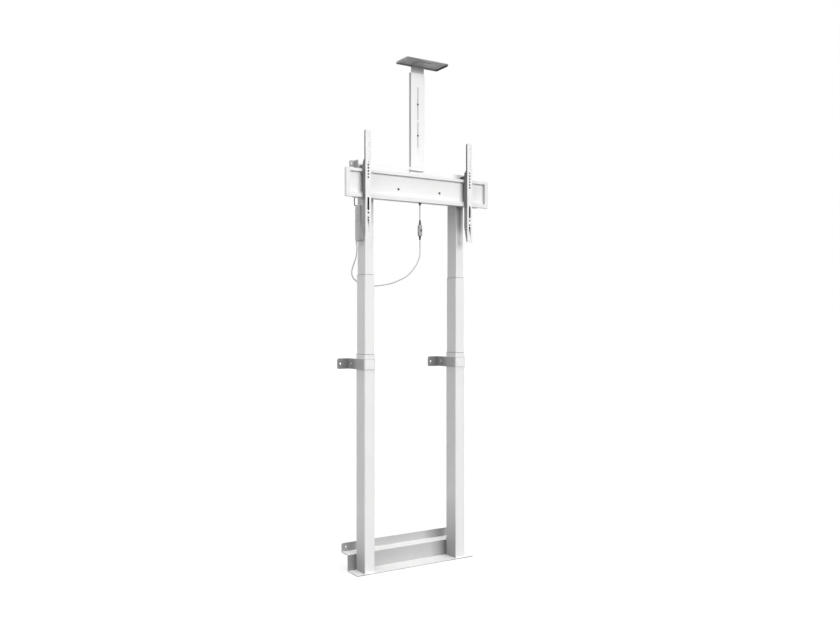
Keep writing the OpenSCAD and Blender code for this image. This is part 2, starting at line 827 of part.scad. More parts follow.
module motor(side) {
    z = head_floor_z + gearbox_side / 2;
    x0 = gearbox_side / 2;
    x1 = x0 + motor_neck;
    color(PLASTIC_DARK) column(side) mirror([side > 0 ? 1 : 0, 0, 0]) {
        along_x(0, z, motor_d - motor_neck, x0, x1 + eps);
        along_x(0, z, motor_d, x1, x0 + motor_len);
        along_x(0, z, motor_boss_d, x0 + motor_len - eps, x0 + motor_len + motor_boss_len);
        block([x1, -motor_d / 4, head_floor_z], [x1 + motor_d / 2, motor_d / 4, z - motor_d / 2 + 2]);
    }
}

module control_unit() {
    z = head_floor_z;
    y = control_d / 2;
    color(PLASTIC_DARK) difference() {
        block([-control_w / 2, -y, z], [control_w / 2, y, z + control_h]);
        for (i = [-3:3]) translate([i * fin_pitch, 0, 0])
            block([-fin_w / 2, -y - 1, z + fin_pitch],
                [fin_w / 2, -y + fin_depth, z + control_h - fin_pitch]);
    }
}

// Cross beam

module beam_tray() {
    w = beam_w / 2;
    y0 = -beam_front_y;
    y1 = y0 + beam_end_d;
    z0 = beam_bottom_z;
    z1 = beam_top_z;
    in_x = rim_in_x;
    in_z0 = z0 + rim_bottom;
    in_z1 = z1 - rim_top;
    t = beam_t;
    color(STEEL_WHITE) difference() {
        union() {
            block([-w, y0, z0], [w, y1, z1]);
            block([-under_half_w, y1 - eps, z0], [under_half_w, under_back_y, z0 + t]);
            block([-in_x, y1 - eps, z1 - t], [in_x, y0 + beam_hook_d, z1]);
        }
        // recess in front of the panel
        block([-in_x, y0 - 1, in_z0], [in_x, panel_y, in_z1]);
        // hollow behind the panel
        block([-in_x - t, panel_y + t, z0 + t], [in_x + t, y1 + 1, z1 - t]);
        // hollow inside the rim
        difference() {
            block([-w + t, y0 + t, z0 + t], [w - t, y1 + 1, z1 - t]);
            block([-in_x - t, y0, in_z0 - t], [in_x + t, panel_y + t, in_z1 + t]);
        }
        for (side = [LEFT, RIGHT]) {
            along_y(side * panel_screw_spacing / 2, panel_screw_z, panel_screw_d + 2 * fit,
                panel_y - 1, panel_y + t + 1);
            // open seam where the end rim meets the top rim
            block([side * in_x - seam / 2, y0 - 1, in_z1 - 1],
                [side * in_x + seam / 2, y0 + t + eps, z1 + 1]);
        }
        translate([module_x, module_y, z0 - 1]) cylinder(d = gland_d + 2 * fit, h = t + 2);
    }
}

// Channels that carry the beam panel on the front of the head box
module beam_brackets() {
    y0 = panel_y + beam_t;
    y1 = head_front_y;
    z0 = max(head_bottom_z, panel_screw_z - bracket_h / 2);
    w = bracket_w / 2;
    t = bracket_t;
    color(STEEL_WHITE) for (side = [LEFT, RIGHT]) translate([side * panel_screw_spacing / 2, 0, 0])
        difference() {
            block([-w, y0, z0], [w, y1, z0 + bracket_h]);
            block([-w + t, y0 + t, z0 - 1], [w - t, y1 - t, z0 + bracket_h + 1]);
            along_y(0, panel_screw_z, panel_screw_d + 2 * fit, y0 - 1, y0 + t + 1);
        }
}

module beam_screws() {
    color(SCREW_STEEL) for (side = [LEFT, RIGHT]) {
        front_screw(side * panel_screw_spacing / 2, panel_screw_z, panel_y, panel_screw_d,
            panel_screw_d + 4, panel_screw_d / 2, 2 * panel_screw_d);
        front_screw(side * foot_fix_x, foot_fix_z, head_front_y - camera_t, camera_bolt_d,
            camera_bolt_head_d, camera_bolt_d / 2, 2 * camera_bolt_d);
    }
}

// Angle at the left end of the head box, for the screen's leads
module cable_bracket() {
    x1 = -head_w / 2;
    x0 = x1 - lead_bracket_t;
    y1 = lead_bracket_y[1];
    y0 = y1 - lead_bracket_t;
    top_z = head_top_z + lead_bracket_rise;
    tab_x = x0 - lead_tab_w;
    r = lead_tab_r;
    color(STEEL_WHITE) difference() {
        union() {
            block([x0, lead_bracket_y[0], head_top_z - 30], [x1, y1, top_z]);
            block([tab_x, y0, top_z - lead_tab_h], [x0 + eps, y1, top_z]);
        }
        along_y(tab_x + lead_tab_w / 2, top_z - lead_hole_drop, lead_hole_d, y0 - 1, y1 + 1);
        translate([x0 - 1, lead_bracket_y[0], top_z]) rotate([0, 90, 0])
            quarter_cut(r, lead_bracket_t + 2, 1, 1);
        translate([tab_x, y0 - 1, top_z]) rotate([-90, 0, 0]) quarter_cut(r, lead_bracket_t + 2, 1, 1);
    }
}

// Rounds one corner of a plate: the corner is at the origin, sx and sy point into the plate
module quarter_cut(r, h, sx, sy) {
    linear_extrude(h) difference() {
        translate([sx > 0 ? -1 : -r, sy > 0 ? -1 : -r]) square(r + 1);
        translate([sx * r, sy * r]) circle(r);
    }
}

// Screen arms

// Side outline of an arm flange with its hook, as [y, z] points
function arm_side() = let (
    f = arm_face_y,
    deep = f + arm_deep,
    inner = deep + arm_in_recess,
    slim = f + arm_shallow,
    top = beam_top_z + run,
    back = -beam_front_y + hook_reach,
    tail = -beam_front_y + beam_hook_d + run,
    recess_z0 = beam_bottom_z + rim_bottom + 2,
    recess_z1 = beam_top_z - rim_top - 2
) [
    [f, arm_bottom_z], [f + arm_shallow * 0.7, arm_bottom_z + 4], [deep, arm_taper_z],
    [deep, recess_z0], [inner, recess_z0 + arm_in_recess], [inner, recess_z1 - arm_in_recess],
    [deep, recess_z1], [deep, top], [tail, top], [tail, top - hook_tail], [back, top - hook_tail],
    [back, top + hook_h - hook_bevel], [back - hook_bevel, top + hook_h], [deep, top + hook_h],
    [deep, arm_step_z - 8], [slim, arm_step_z + 6], [slim, arm_top_z - 5], [slim - 5, arm_top_z],
    [f, arm_top_z]
];

module tv_arm(x) {
    f = arm_face_y;
    w = arm_w / 2;
    color(STEEL_WHITE) translate([x, 0, 0]) difference() {
        union() {
            block([-w, f, arm_bottom_z], [w, f + arm_t, arm_top_z]);
            for (sx = [-w, w - arm_t])
                translate([sx, 0, 0]) rotate([90, 0, 90]) linear_extrude(arm_t) polygon(arm_side());
        }
        for (i = [0:arm_hole_n - 1]) arm_hole(first_hole_z - i * arm_hole_pitch);
        arm_hole(upper_slot[0] - slot_hole_gap[0]);
        arm_hole(lower_slot[1] + slot_hole_gap[1]);
        for (z = [upper_slot, lower_slot])
            translate([0, f + arm_t + 1, (z[0] + z[1]) / 2]) rotate([90, 0, 0]) linear_extrude(arm_t + 2)
                slot_shape(arm_slot_w, z[1] - z[0]);
        for (z = [arm_taper_z - 22, arm_taper_z - 5])
            along_x(f + arm_shallow, z, side_hole_d, -w - 1, w + 1);
    }
}

module arm_hole(z) {
    along_y(0, z, arm_hole_d, arm_face_y - 1, arm_face_y + arm_t + 1);
}

// Camera arm and shelf

module camera_arm() {
    w = camera_w / 2;
    f = camera_face_y;
    t = camera_t;
    color(STEEL_WHITE) difference() {
        block([-w, f, camera_bottom_z], [w, head_front_y, camera_top_z]);
        block([-w + t, f + t, camera_bottom_z - 1], [w - t, head_front_y + 1, camera_top_z + 1]);
        for (z = camera_slots)
            translate([0, f + t + 1, (z[0] + z[1]) / 2]) rotate([90, 0, 0]) linear_extrude(t + 2)
                slot_shape(camera_slot_w, z[1] - z[0]);
    }
}

// Cranked plate, spot welded inside the camera arm and screwed to the head box
module camera_foot() {
    w = camera_w / 2 - camera_t;
    f = camera_face_y + camera_t;
    z0 = camera_bottom_z - camera_foot_drop;
    t = camera_t;
    color(STEEL_WHITE) difference() {
        union() {
            block([-w, f, z0], [w, f + t, camera_bottom_z + camera_foot_up]);
            block([-w, f, z0], [w, head_front_y, z0 + t]);
            block([-w, head_front_y - t, foot_fix_z - foot_fix_x / 2], [w, head_front_y, z0 + t]);
        }
        for (side = [LEFT, RIGHT])
            along_y(side * foot_fix_x, foot_fix_z, camera_bolt_d + 2 * fit,
                head_front_y - t - 1, head_front_y + 1);
    }
}

module shelf_slider() {
    f = camera_face_y + camera_t + run;
    w = slider_w / 2;
    t = camera_t;
    color(STEEL_WHITE) difference() {
        union() {
            block([-w, f, slider_bottom_z], [w, f + t, shelf_under_z]);
            block([-w, f - slider_reach, shelf_under_z - t], [w, f + t, shelf_under_z]);
        }
        for (z = [bolt_low_z, bolt_high_z]) along_y(0, z, camera_bolt_d + 2 * fit, f - 1, f + t + 1);
        translate([0, camera_hole_y, shelf_under_z - t - 1]) cylinder(d = camera_screw_d, h = t + 2);
    }
}

// Tray with three lips folded down and an open front, spot welded on the slider's top
module camera_shelf() {
    t = camera_t;
    front_y = shelf_back_y - shelf_d;
    color(STEEL_WHITE) difference() {
        translate([0, shelf_back_y - shelf_d / 2, shelf_under_z - shelf_lip])
            linear_extrude(shelf_lip + t) rounded_rect(shelf_w, shelf_d, shelf_r);
        translate([0, shelf_back_y - shelf_d / 2, shelf_under_z - shelf_lip - 1])
            linear_extrude(shelf_lip + 1) rounded_rect(shelf_w - 2 * t, shelf_d - 2 * t, shelf_r - t);
        block([-shelf_w / 2 - 1, front_y - 1, shelf_under_z - shelf_lip - 1],
            [shelf_w / 2 + 1, front_y + shelf_r, shelf_under_z]);
        translate([0, camera_hole_y, shelf_under_z - 1]) cylinder(d = camera_screw_d, h = t + 2);
    }
}

// Bolts that clamp the slider in the arm's slots, with the head in front and the nut behind
module shelf_bolts() {
    face = camera_face_y - run;
    back = camera_face_y + 2 * camera_t + run;
    color(SCREW_STEEL) for (z = [bolt_low_z, bolt_high_z]) {
        along_y(0, z, camera_bolt_head_d, face - camera_bolt_d / 2, face);
        along_y(0, z, camera_bolt_d, face - eps, back + camera_bolt_d);
        translate([0, back, z]) rotate([-90, 0, 0])
            cylinder(d = camera_bolt_head_d, h = camera_bolt_d - 1, $fn = 6);
    }
}

// Handset, holder and cord

// One half of the handset, from x0 to x1, with its floor at the side given by floor_x
module handset_half(x0, x1, floor_x) {
    zc = handset_bottom_z + handset_h / 2;
    t = handset_wall;
    difference() {
        translate([x0, handset_y, zc]) rotate([90, 0, 90]) linear_extrude(x1 - x0)
            rounded_rect(handset_w, handset_h, handset_r);
        difference() {
            translate([x0 - 1, handset_y, zc]) rotate([90, 0, 90]) linear_extrude(x1 - x0 + 2)
                rounded_rect(handset_w - 2 * t, handset_h - 2 * t, handset_r - t);
            translate([floor_x, handset_y, zc]) cube([2 * t, 2 * handset_w, 2 * handset_h], center = true);
        }
        translate([handset_x, plug_y, handset_bottom_z - 1]) cylinder(d = cord_d + 2 * fit, h = t + 2);
    }
}

module handset_front() {
    color(PLASTIC_WHITE) difference() {
        handset_half(handset_left_x, handset_x, handset_left_x);
        for (z = [key_up_z, key_down_z])
            along_x(handset_y, z, key_d + 2 * run, handset_left_x - 1, handset_left_x + handset_wall + 1);
    }
}

// Rear shell, with the block of switches that the keys press on
module handset_back() {
    zc = (key_up_z + key_down_z) / 2;
    half_h = (key_up_z - key_down_z) / 2 + switch_over;
    color(PLASTIC_WHITE) {
        handset_half(handset_x, handset_right_x, handset_right_x);
        block([switch_face_x, handset_y - switch_w / 2, zc - half_h],
            [handset_right_x - handset_wall + eps, handset_y + switch_w / 2, zc + half_h]);
    }
}

module key(z) {
    seat_x = handset_left_x + handset_wall + run;
    color(PLASTIC_WHITE) {
        along_x(handset_y, z, key_d, handset_left_x - key_proud, switch_face_x - key_travel - run);
        along_x(handset_y, z, key_d + 2 * key_flange_w, seat_x, seat_x + key_flange_t);
    }
}

module key_up() {
    key(key_up_z);
}

module key_down() {
    key(key_down_z);
}

module handset_hanger() {
    x0 = handset_left_x - hanger_out;
    y0 = plug_y - hanger_w / 2;
    y1 = plug_y + hanger_w / 2;
    color(PLASTIC_WHITE) {
        block([x0, y0, handset_top_z], [x0 + hanger_t, y1, head_bottom_z]);
        block([x0, y0, handset_top_z], [handset_right_x, y1, handset_top_z + hanger_t]);
        block([x0, y0, head_bottom_z - hanger_t], [hanger_right_x, y1, head_bottom_z]);
    }
}

module cord_module() {
    color(PLASTIC_WHITE) translate([module_x, module_y, module_bottom_z])
        linear_extrude(module_top_z - module_bottom_z) rounded_rect(module_w, module_d, module_r);
}

// Gland in the beam, straight lead, both ends of the small box and the handset's plug
module cord_reliefs() {
    color(PLASTIC_DARK) translate([module_x, module_y, 0]) {
        translate([0, 0, module_top_z])
            cylinder(d1 = relief_wide, d2 = relief_narrow, h = relief_top_z - module_top_z);
        translate([0, 0, relief_bottom_z])
            cylinder(d1 = relief_narrow, d2 = relief_wide, h = module_bottom_z - relief_bottom_z);
        translate([0, 0, relief_top_z]) cylinder(d = cord_d, h = beam_bottom_z - relief_top_z);
        translate([0, 0, beam_bottom_z - gland_h]) cylinder(d1 = cord_d + 2, d2 = gland_d + 4, h = gland_h);
        translate([0, 0, beam_bottom_z - eps]) cylinder(d = gland_d, h = beam_t + 3);
    }
    color(PLASTIC_WHITE) translate([handset_x, plug_y, handset_bottom_z - plug_h]) {
        cylinder(d = plug_d, h = plug_h);
        cylinder(d = cord_d, h = plug_h + plug_pin_h);
    }
}

// Tube swept along a route: one ring of points at each route point
function unit(v) = v / norm(v);
function tangent(p, i) = unit(p[min(i + 1, len(p) - 1)] - p[max(i - 1, 0)]);
function side_of(t) = unit(cross(t, abs(t[2]) > 0.9 ? [0, 1, 0] : [0, 0, 1]));
function frames(p, i = 0, u = [1, 0, 0]) = i == len(p) ? [] :
    let (t = tangent(p, i), v = unit(u - (u * t) * t)) concat([[v, cross(t, v)]], frames(p, i + 1, v));

module swept_tube(p, r, sides) {
    f = frames(p, 0, side_of(tangent(p, 0)));
    n = len(p);
    pts = [for (i = [0:n - 1], k = [0:sides - 1])
        p[i] + r * (cos(360 * k / sides) * f[i][0] + sin(360 * k / sides) * f[i][1])];
    faces = concat(
        [[for (k = [0:sides - 1]) k]],
        [for (i = [0:n - 2], k = [0:sides - 1]) let (a = i * sides + k, b = i * sides + (k + 1) % sides)
            [a, a + sides, b + sides, b]],
        [[for (k = [sides - 1:-1:0]) (n - 1) * sides + k]]
    );
    polyhedron(pts, faces, convexity = 6);
}

module handset_cord() {
    color(CORD_GREY) translate([0, 0, beam_bottom_z]) swept_tube(LOOP_ROUTE, cord_d / 2, CORD_SIDES);
}

base_plate();
base_screws();
outer_tube(LEFT);  // outer_tube_left
outer_tube(RIGHT);  // outer_tube_right
outer_cap(LEFT);  // outer_cap_left
outer_cap(RIGHT);  // outer_cap_right
column_foot(LEFT);  // column_foot_left
column_foot(RIGHT);  // column_foot_right
support_tube(LEFT);  // support_tube_left
support_tube(RIGHT);  // support_tube_right
lower_nut(LEFT);  // lower_nut_left
lower_nut(RIGHT);  // lower_nut_right
wall_clamp(LEFT);  // wall_clamp_left
wall_clamp(RIGHT);  // wall_clamp_right
clamp_spacers();
clamp_bolts();
middle_tube(LEFT);  // middle_tube_left
middle_tube(RIGHT);  // middle_tube_right
middle_cap(LEFT);  // middle_cap_left
middle_cap(RIGHT);  // middle_cap_right
middle_shoe(LEFT);  // middle_shoe_left
middle_shoe(RIGHT);  // middle_shoe_right
stage_tube(LEFT);  // stage_tube_left
stage_tube(RIGHT);  // stage_tube_right
upper_nut(LEFT);  // upper_nut_left
upper_nut(RIGHT);  // upper_nut_right
hollow_screw(LEFT);  // hollow_screw_left
hollow_screw(RIGHT);  // hollow_screw_right
drive_screw(LEFT);  // drive_screw_left
drive_screw(RIGHT);  // drive_screw_right
inner_tube(LEFT);  // inner_tube_left
inner_tube(RIGHT);  // inner_tube_right
inner_shoe(LEFT);  // inner_shoe_left
inner_shoe(RIGHT);  // inner_shoe_right
head_box();
head_cover();
gearbox(LEFT);  // gearbox_left
gearbox(RIGHT);  // gearbox_right
motor(LEFT);  // motor_left
motor(RIGHT);  // motor_right
control_unit();
beam_tray();
beam_brackets();
beam_screws();
cable_bracket();
tv_arm(arm_left_x);  // tv_arm_left
tv_arm(arm_right_x);  // tv_arm_right
camera_arm();
camera_foot();
shelf_slider();
camera_shelf();
shelf_bolts();
handset_front();
handset_back();
key_up();
key_down();
handset_hanger();
cord_module();
cord_reliefs();
handset_cord();
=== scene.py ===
import math

import bmesh
import bpy
from mathutils import Matrix, Vector


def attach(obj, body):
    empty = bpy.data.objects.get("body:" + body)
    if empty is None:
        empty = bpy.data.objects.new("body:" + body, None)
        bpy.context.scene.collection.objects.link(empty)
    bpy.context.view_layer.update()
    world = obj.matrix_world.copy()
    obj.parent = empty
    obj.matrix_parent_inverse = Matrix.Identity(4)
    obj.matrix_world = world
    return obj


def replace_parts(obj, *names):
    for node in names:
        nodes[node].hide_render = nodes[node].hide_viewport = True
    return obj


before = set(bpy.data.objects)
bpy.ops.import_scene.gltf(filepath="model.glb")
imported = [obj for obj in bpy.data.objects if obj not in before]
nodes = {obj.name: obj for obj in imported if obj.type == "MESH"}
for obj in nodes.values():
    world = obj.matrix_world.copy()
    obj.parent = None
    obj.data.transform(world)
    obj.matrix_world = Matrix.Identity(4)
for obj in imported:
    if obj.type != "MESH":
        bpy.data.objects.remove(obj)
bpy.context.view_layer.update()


# Camera
# The viewpoint of the photograph: eye height a little over a metre, about four metres off and to
# the left of the stand. Its uprights are upright, so the camera is level and its frame shifted.
def added(name, data):
    thing = bpy.data.objects.new(name, data)
    bpy.context.scene.collection.objects.link(thing)
    return thing


lens = bpy.data.cameras.new("camera")
lens.sensor_width = 36.0
lens.lens = 36.4735
lens.shift_y = 0.011646
camera = added("camera", lens)
camera.location = (-1.97315, -3.19811, 1.05444)
camera.rotation_euler = (math.radians(90), 0, math.radians(-32.2254))
bpy.context.scene.camera = camera


# Floor and wall sheet
# One sheet of 3 mm steel, cut and folded: a plate on the floor, an upright web behind the columns,
# a ledge and a flange that is screwed to the wall. Powder coated white; web and flange are toned
# grey, most of all at the ends of the web, for the shade that they stand in.
def new_finish(name):
    material = bpy.data.materials.new(name)
    material.use_nodes = True
    tree = material.node_tree
    return material, tree, tree.nodes["Principled BSDF"]


def grain(tree, per_metre, detail=2.0):
    where = tree.nodes.new("ShaderNodeTexCoord")
    noise = tree.nodes.new("ShaderNodeTexNoise")
    noise.inputs["Scale"].default_value = per_metre
    noise.inputs["Detail"].default_value = detail
    tree.links.new(where.outputs["Object"], noise.inputs["Vector"])
    return noise.outputs["Fac"]


def fade(tree, value, low, high, start=0.3, end=0.7):
    """Goes from low to high while the value goes from start to end."""
    span = tree.nodes.new("ShaderNodeMapRange")
    span.inputs["From Min"].default_value = start
    span.inputs["From Max"].default_value = end
    span.inputs["To Min"].default_value = low
    span.inputs["To Max"].default_value = high
    tree.links.new(value, span.inputs["Value"])
    return span.outputs["Result"]


def blended(tree, value, first, second):
    mix = tree.nodes.new("ShaderNodeMix")
    mix.data_type = "RGBA"
    tree.links.new(value, mix.inputs["Factor"])
    for socket, colour in ((mix.inputs[6], first), (mix.inputs[7], second)):
        socket.default_value = (*colour, 1)
    return mix.outputs[2]


def uneven_gloss(tree, shader, smooth, rough, per_metre, detail=3.0):
    roughness = fade(tree, grain(tree, per_metre, detail), smooth, rough)
    tree.links.new(roughness, shader.inputs["Roughness"])


def surface_relief(tree, shader, height, strength, depth):
    bump = tree.nodes.new("ShaderNodeBump")
    bump.inputs["Strength"].default_value = strength
    bump.inputs["Distance"].default_value = depth
    tree.links.new(height, bump.inputs["Height"])
    tree.links.new(bump.outputs["Normal"], shader.inputs["Normal"])


def orange_peel(tree, shader):
    surface_relief(tree, shader, grain(tree, per_metre=620.0), strength=0.14, depth=0.0006)
    shader.inputs["Specular IOR Level"].default_value = 0.42


def toned_coat(name, tone, first, second):
    """A powder coat that goes from the first colour to the second where its tone goes to 1."""
    material, tree, shader = new_finish(name)
    cloud = fade(tree, grain(tree, per_metre=9.0, detail=3.0), 0.97, 1.0)
    shade = tree.nodes.new("ShaderNodeVectorMath")
    shade.operation = "SCALE"
    tree.links.new(blended(tree, tone(tree), first, second), shade.inputs[0])
    tree.links.new(cloud, shade.inputs["Scale"])
    tree.links.new(shade.outputs["Vector"], shader.inputs["Base Color"])
    uneven_gloss(tree, shader, smooth=0.36, rough=0.5, per_metre=70.0)
    orange_peel(tree, shader)
    return material


def coat(material, *names):
    for name in names:
        slots = nodes[name].data.materials
        slots.clear()
        slots.append(material)


def along(tree, output, axis):
    where = tree.nodes.new("ShaderNodeTexCoord")
    parts = tree.nodes.new("ShaderNodeSeparateXYZ")
    tree.links.new(where.outputs[output], parts.inputs["Vector"])
    return parts.outputs[axis]


def place(tree, axis):
    return along(tree, "Object", axis)


def facing(tree, axis):
    return along(tree, "Normal", axis)


def worked(tree, how, first, second=0.0):
    step = tree.nodes.new("ShaderNodeMath")
    step.operation = how
    for socket, value in zip(step.inputs, (first, second)):
        if isinstance(value, float):
            socket.default_value = value
        else:
            tree.links.new(value, socket)
    return step.outputs["Value"]


def chain(how):
    def joined(tree, result, *others):
        for other in others:
            result = worked(tree, how, result, other)
        return result
    return joined


most, least = chain("MAXIMUM"), chain("MINIMUM")


def sheet_tone(tree):
    """1 on the plate and the ledge, less on the web and the flange."""
    web_left_end, web_right_end = (-0.25, -0.21), (0.12, 0.215)
    above_the_ledge = (0.0735, 0.0745)
    lying = fade(tree, facing(tree, "Z"), 0, 1, 0.3, 0.8)
    across = place(tree, "X")
    web = least(tree, fade(tree, across, 0.1, 0.41, *web_left_end),
                fade(tree, across, 0.41, 0, *web_right_end))
    flange = fade(tree, place(tree, "Z"), 0, 0.27, *above_the_ledge)
    return most(tree, lying, web, flange)


shaded_sheet, white_sheet = (0.17, 0.17, 0.172), (0.93, 0.93, 0.925)
coat(toned_coat("sheet_coat", sheet_tone, shaded_sheet, white_sheet), "base_plate")


# Screws under the floor plate
# Countersunk zinc-plated steel screws that come up through the floor plate and into the column
# feet. They are flush with the plate's underside, so the stand lies flat.
def mottled(tree, shader, light, shade, per_metre, detail=3.0):
    colour = blended(tree, fade(tree, grain(tree, per_metre, detail), 0, 1), light, shade)
    tree.links.new(colour, shader.inputs["Base Color"])


def plated_steel(name, light, shade, gloss):
    material, tree, shader = new_finish(name)
    mottled(tree, shader, light, shade, per_metre=240.0, detail=4.0)
    uneven_gloss(tree, shader, gloss - 0.07, gloss + 0.1, per_metre=420.0)
    surface_relief(tree, shader, grain(tree, 900.0), strength=0.1, depth=0.0003)
    shader.inputs["Metallic"].default_value = 0.92
    return material


zinc = plated_steel("zinc_plate", (0.66, 0.67, 0.69), (0.54, 0.55, 0.57), 0.36)
coat(zinc, "base_screws")


# Columns
# Two telescopic columns of welded box tube, each in three stages that run on plastic glides, with
# a foot block in the outer tube for the screws from below. White powder coat; the sides near the
# floor and all round just under the beam are toned darker for the shade that they stand in.
times = chain("MULTIPLY")


def looking(tree, way):
    axis = {"left": "X", "forward": "Y", "down": "Z"}[way]
    return fade(tree, facing(tree, axis), 1, 0, -0.8, -0.4)


def to_both_sides(tree, axis, full=1.0, start=0.4, end=0.8):
    part = facing(tree, axis)
    return fade(tree, times(tree, part, part), 0, full, start, end)


def column_tone(tree):
    """Darker sides at both ends, in another measure on each column, and a darker front on top."""
    from_left_to_right = (-0.01, 0.01)
    off_the_floor, below_the_head, under_the_beam = (0.0, 0.3), (1.46, 1.56), (1.46, 1.585)
    height, across = place(tree, "Z"), place(tree, "X")
    low_end = worked(tree, "POWER", fade(tree, height, 1, 0, *off_the_floor),
                     fade(tree, across, 2.6, 1, *from_left_to_right))
    high_end = times(tree, fade(tree, height, 0, 1, *below_the_head),
                     fade(tree, across, 0.46, 0.2, *from_left_to_right))
    sides = times(tree, to_both_sides(tree, "X"), most(tree, low_end, high_end))
    front = times(tree, fade(tree, height, 0, 0.7, *under_the_beam), looking(tree, "forward"))
    return most(tree, sides, front)


white_coat, tree, shader = new_finish("white_powder_coat")
mottled(tree, shader, (0.86, 0.86, 0.855), (0.835, 0.835, 0.83), per_metre=5.0)
uneven_gloss(tree, shader, smooth=0.37, rough=0.48, per_metre=55.0)
orange_peel(tree, shader)
tube_coat = toned_coat("tube_coat", column_tone, (0.855, 0.855, 0.85), (0.29, 0.29, 0.293))
for side in ("left", "right"):
    coat(tube_coat, f"outer_tube_{side}", f"inner_tube_{side}")
    coat(white_coat, f"middle_tube_{side}", f"column_foot_{side}")


# Caps and glides of the columns
# Injection moulded collars close the gap at the mouth of each tube, white like the steel, and
# black shoes wrap the lower end of each moving tube. They are pressed on and held by the fit.
def moulded(name, light, shade, gloss, grit=480.0, depth=0.0004, shine=0.4):
    material, tree, shader = new_finish(name)
    mottled(tree, shader, light, shade, per_metre=18.0)
    uneven_gloss(tree, shader, gloss - 0.05, gloss + 0.07, per_metre=160.0, detail=2.0)
    surface_relief(tree, shader, grain(tree, grit, detail=3.0), strength=0.2, depth=depth)
    shader.inputs["Specular IOR Level"].default_value = shine
    return material


white_plastic = moulded("white_moulding", (0.84, 0.84, 0.835), (0.81, 0.81, 0.8), 0.5)
dark_plastic = moulded("dark_moulding", (0.055, 0.055, 0.06), (0.04, 0.04, 0.043), 0.52)
for side in ("left", "right"):
    coat(white_plastic, f"outer_cap_{side}", f"middle_cap_{side}")
    coat(dark_plastic, f"middle_shoe_{side}", f"inner_shoe_{side}")


# Shadow rings of the columns
# A thin black strip, rough like felt, lies in the mouth of each collar and wraps the tube that
# slides through it. It is painted shadow: a thin dark line round the column, for the shade in the
# gap between collar and tube.
def made(name, stacks, material, body, closed=True):
    """One piece from stacks of rings; each stack is skinned, and capped where it is closed."""
    vertices, faces = [], []
    for rings in stacks:
        first, count = len(vertices), len(rings[0])
        vertices += [point for ring in rings for point in ring]
        for row in range(len(rings) - 1):
            for k in range(count):
                a, b = first + row * count + k, first + row * count + (k + 1) % count
                faces.append((a, b, b + count, a + count))
        if closed:
            last = first + (len(rings) - 1) * count
            faces.append(tuple(range(first + count - 1, first - 1, -1)))
            faces.append(tuple(range(last, last + count)))
    mesh = bpy.data.meshes.new(name)
    mesh.from_pydata(vertices, [], faces)
    mesh.shade_smooth()
    mesh.set_sharp_from_angle(angle=math.radians(35))
    mesh.materials.append(material)
    piece = added(name, mesh)
    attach(piece, body)
    return piece


def rounded_corners(half_width, half_depth, r, steps=6):
    """Points round a rectangle; the halves reach to the centres of its rounded corners."""
    points = []
    for quarter, (sx, sy) in enumerate(((1, 1), (-1, 1), (-1, -1), (1, -1))):
        for k in range(steps + 1):
            a = math.pi / 2 * (quarter + k / steps)
            points.append((sx * half_width + r * math.cos(a), sy * half_depth + r * math.sin(a)))
    return points


def shadow_ring_points(centre_x, low, high, inner, outer):
    round_off, round_down = 0.0006, 0.0004

    def around(size, height):
        width, depth, r = size
        return [(centre_x + x, y, height)
                for x, y in rounded_corners(width / 2 - r, depth / 2 - r, r)]

    upper = tuple(value - round_off for value in outer)
    return [around(inner, low), around(outer, low), around(outer, high - round_down),
            around(upper, high), around(inner, high), around(inner, low)]


column_at = {"left": -0.2325, "right": 0.2325}
clearance, thickness, sunk, proud = 0.0002, 0.0016, 0.0002, 0.0014
inner_corner, outer_corner = 0.0052, 0.0068
# Black rings in the collars' mouths: painted shadow for the gap between collar and tube.
gap_shadow_black = moulded("painted_gap_shadow", (0.13, 0.13, 0.133), (0.1, 0.1, 0.102), 0.9, grit=1400.0,
               depth=0.0008, shine=0.1)
for body, mouth, width, depth in (("stage", 1.2672, 0.04, 0.07), ("stand", 0.9285, 0.045, 0.075)):
    for side, column_x in column_at.items():
        gap, wrap = 2 * clearance, 2 * (clearance + thickness)
        rings = shadow_ring_points(column_x, mouth - sunk, mouth + proud,
                           (width + gap, depth + gap, inner_corner),
                           (width + wrap, depth + wrap, outer_corner))
        strip = made(f"{body}_dark_gap_{side}", [rings], gap_shadow_black,
                     f"stage_{side}" if body == "stage" else "stand", closed=False)


# Spindle drive
# In each column a turning screw, a hollow screw round it and two support tubes share the lift,
# with machined brass nuts. All of it is sealed in the tubes, and the steel is zinc plated.
brass = plated_steel("nut_brass", (0.62, 0.47, 0.21), (0.5, 0.37, 0.15), 0.3)
for side in ("left", "right"):
    coat(zinc, f"support_tube_{side}", f"stage_tube_{side}", f"hollow_screw_{side}",
         f"drive_screw_{side}")
    coat(brass, f"lower_nut_{side}", f"upper_nut_{side}")


# Wall clamps
# A strap of 2.6 mm steel bent round each outer tube, with legs that run back to the wall and turn
# out into two tabs, each with a hole for a wall screw. Coated white, with painted shade: its sides,
# legs and tabs grey for the shade between column and wall, and its cut faces and thin bands along
# its upper and lower edges dark for the shadow lines there.
clamp_z = 0.8865
white = (0.87, 0.87, 0.865)
plus = chain("ADD")


def off(tree, value, centre):
    return worked(tree, "ABSOLUTE", worked(tree, "SUBTRACT", value, centre))


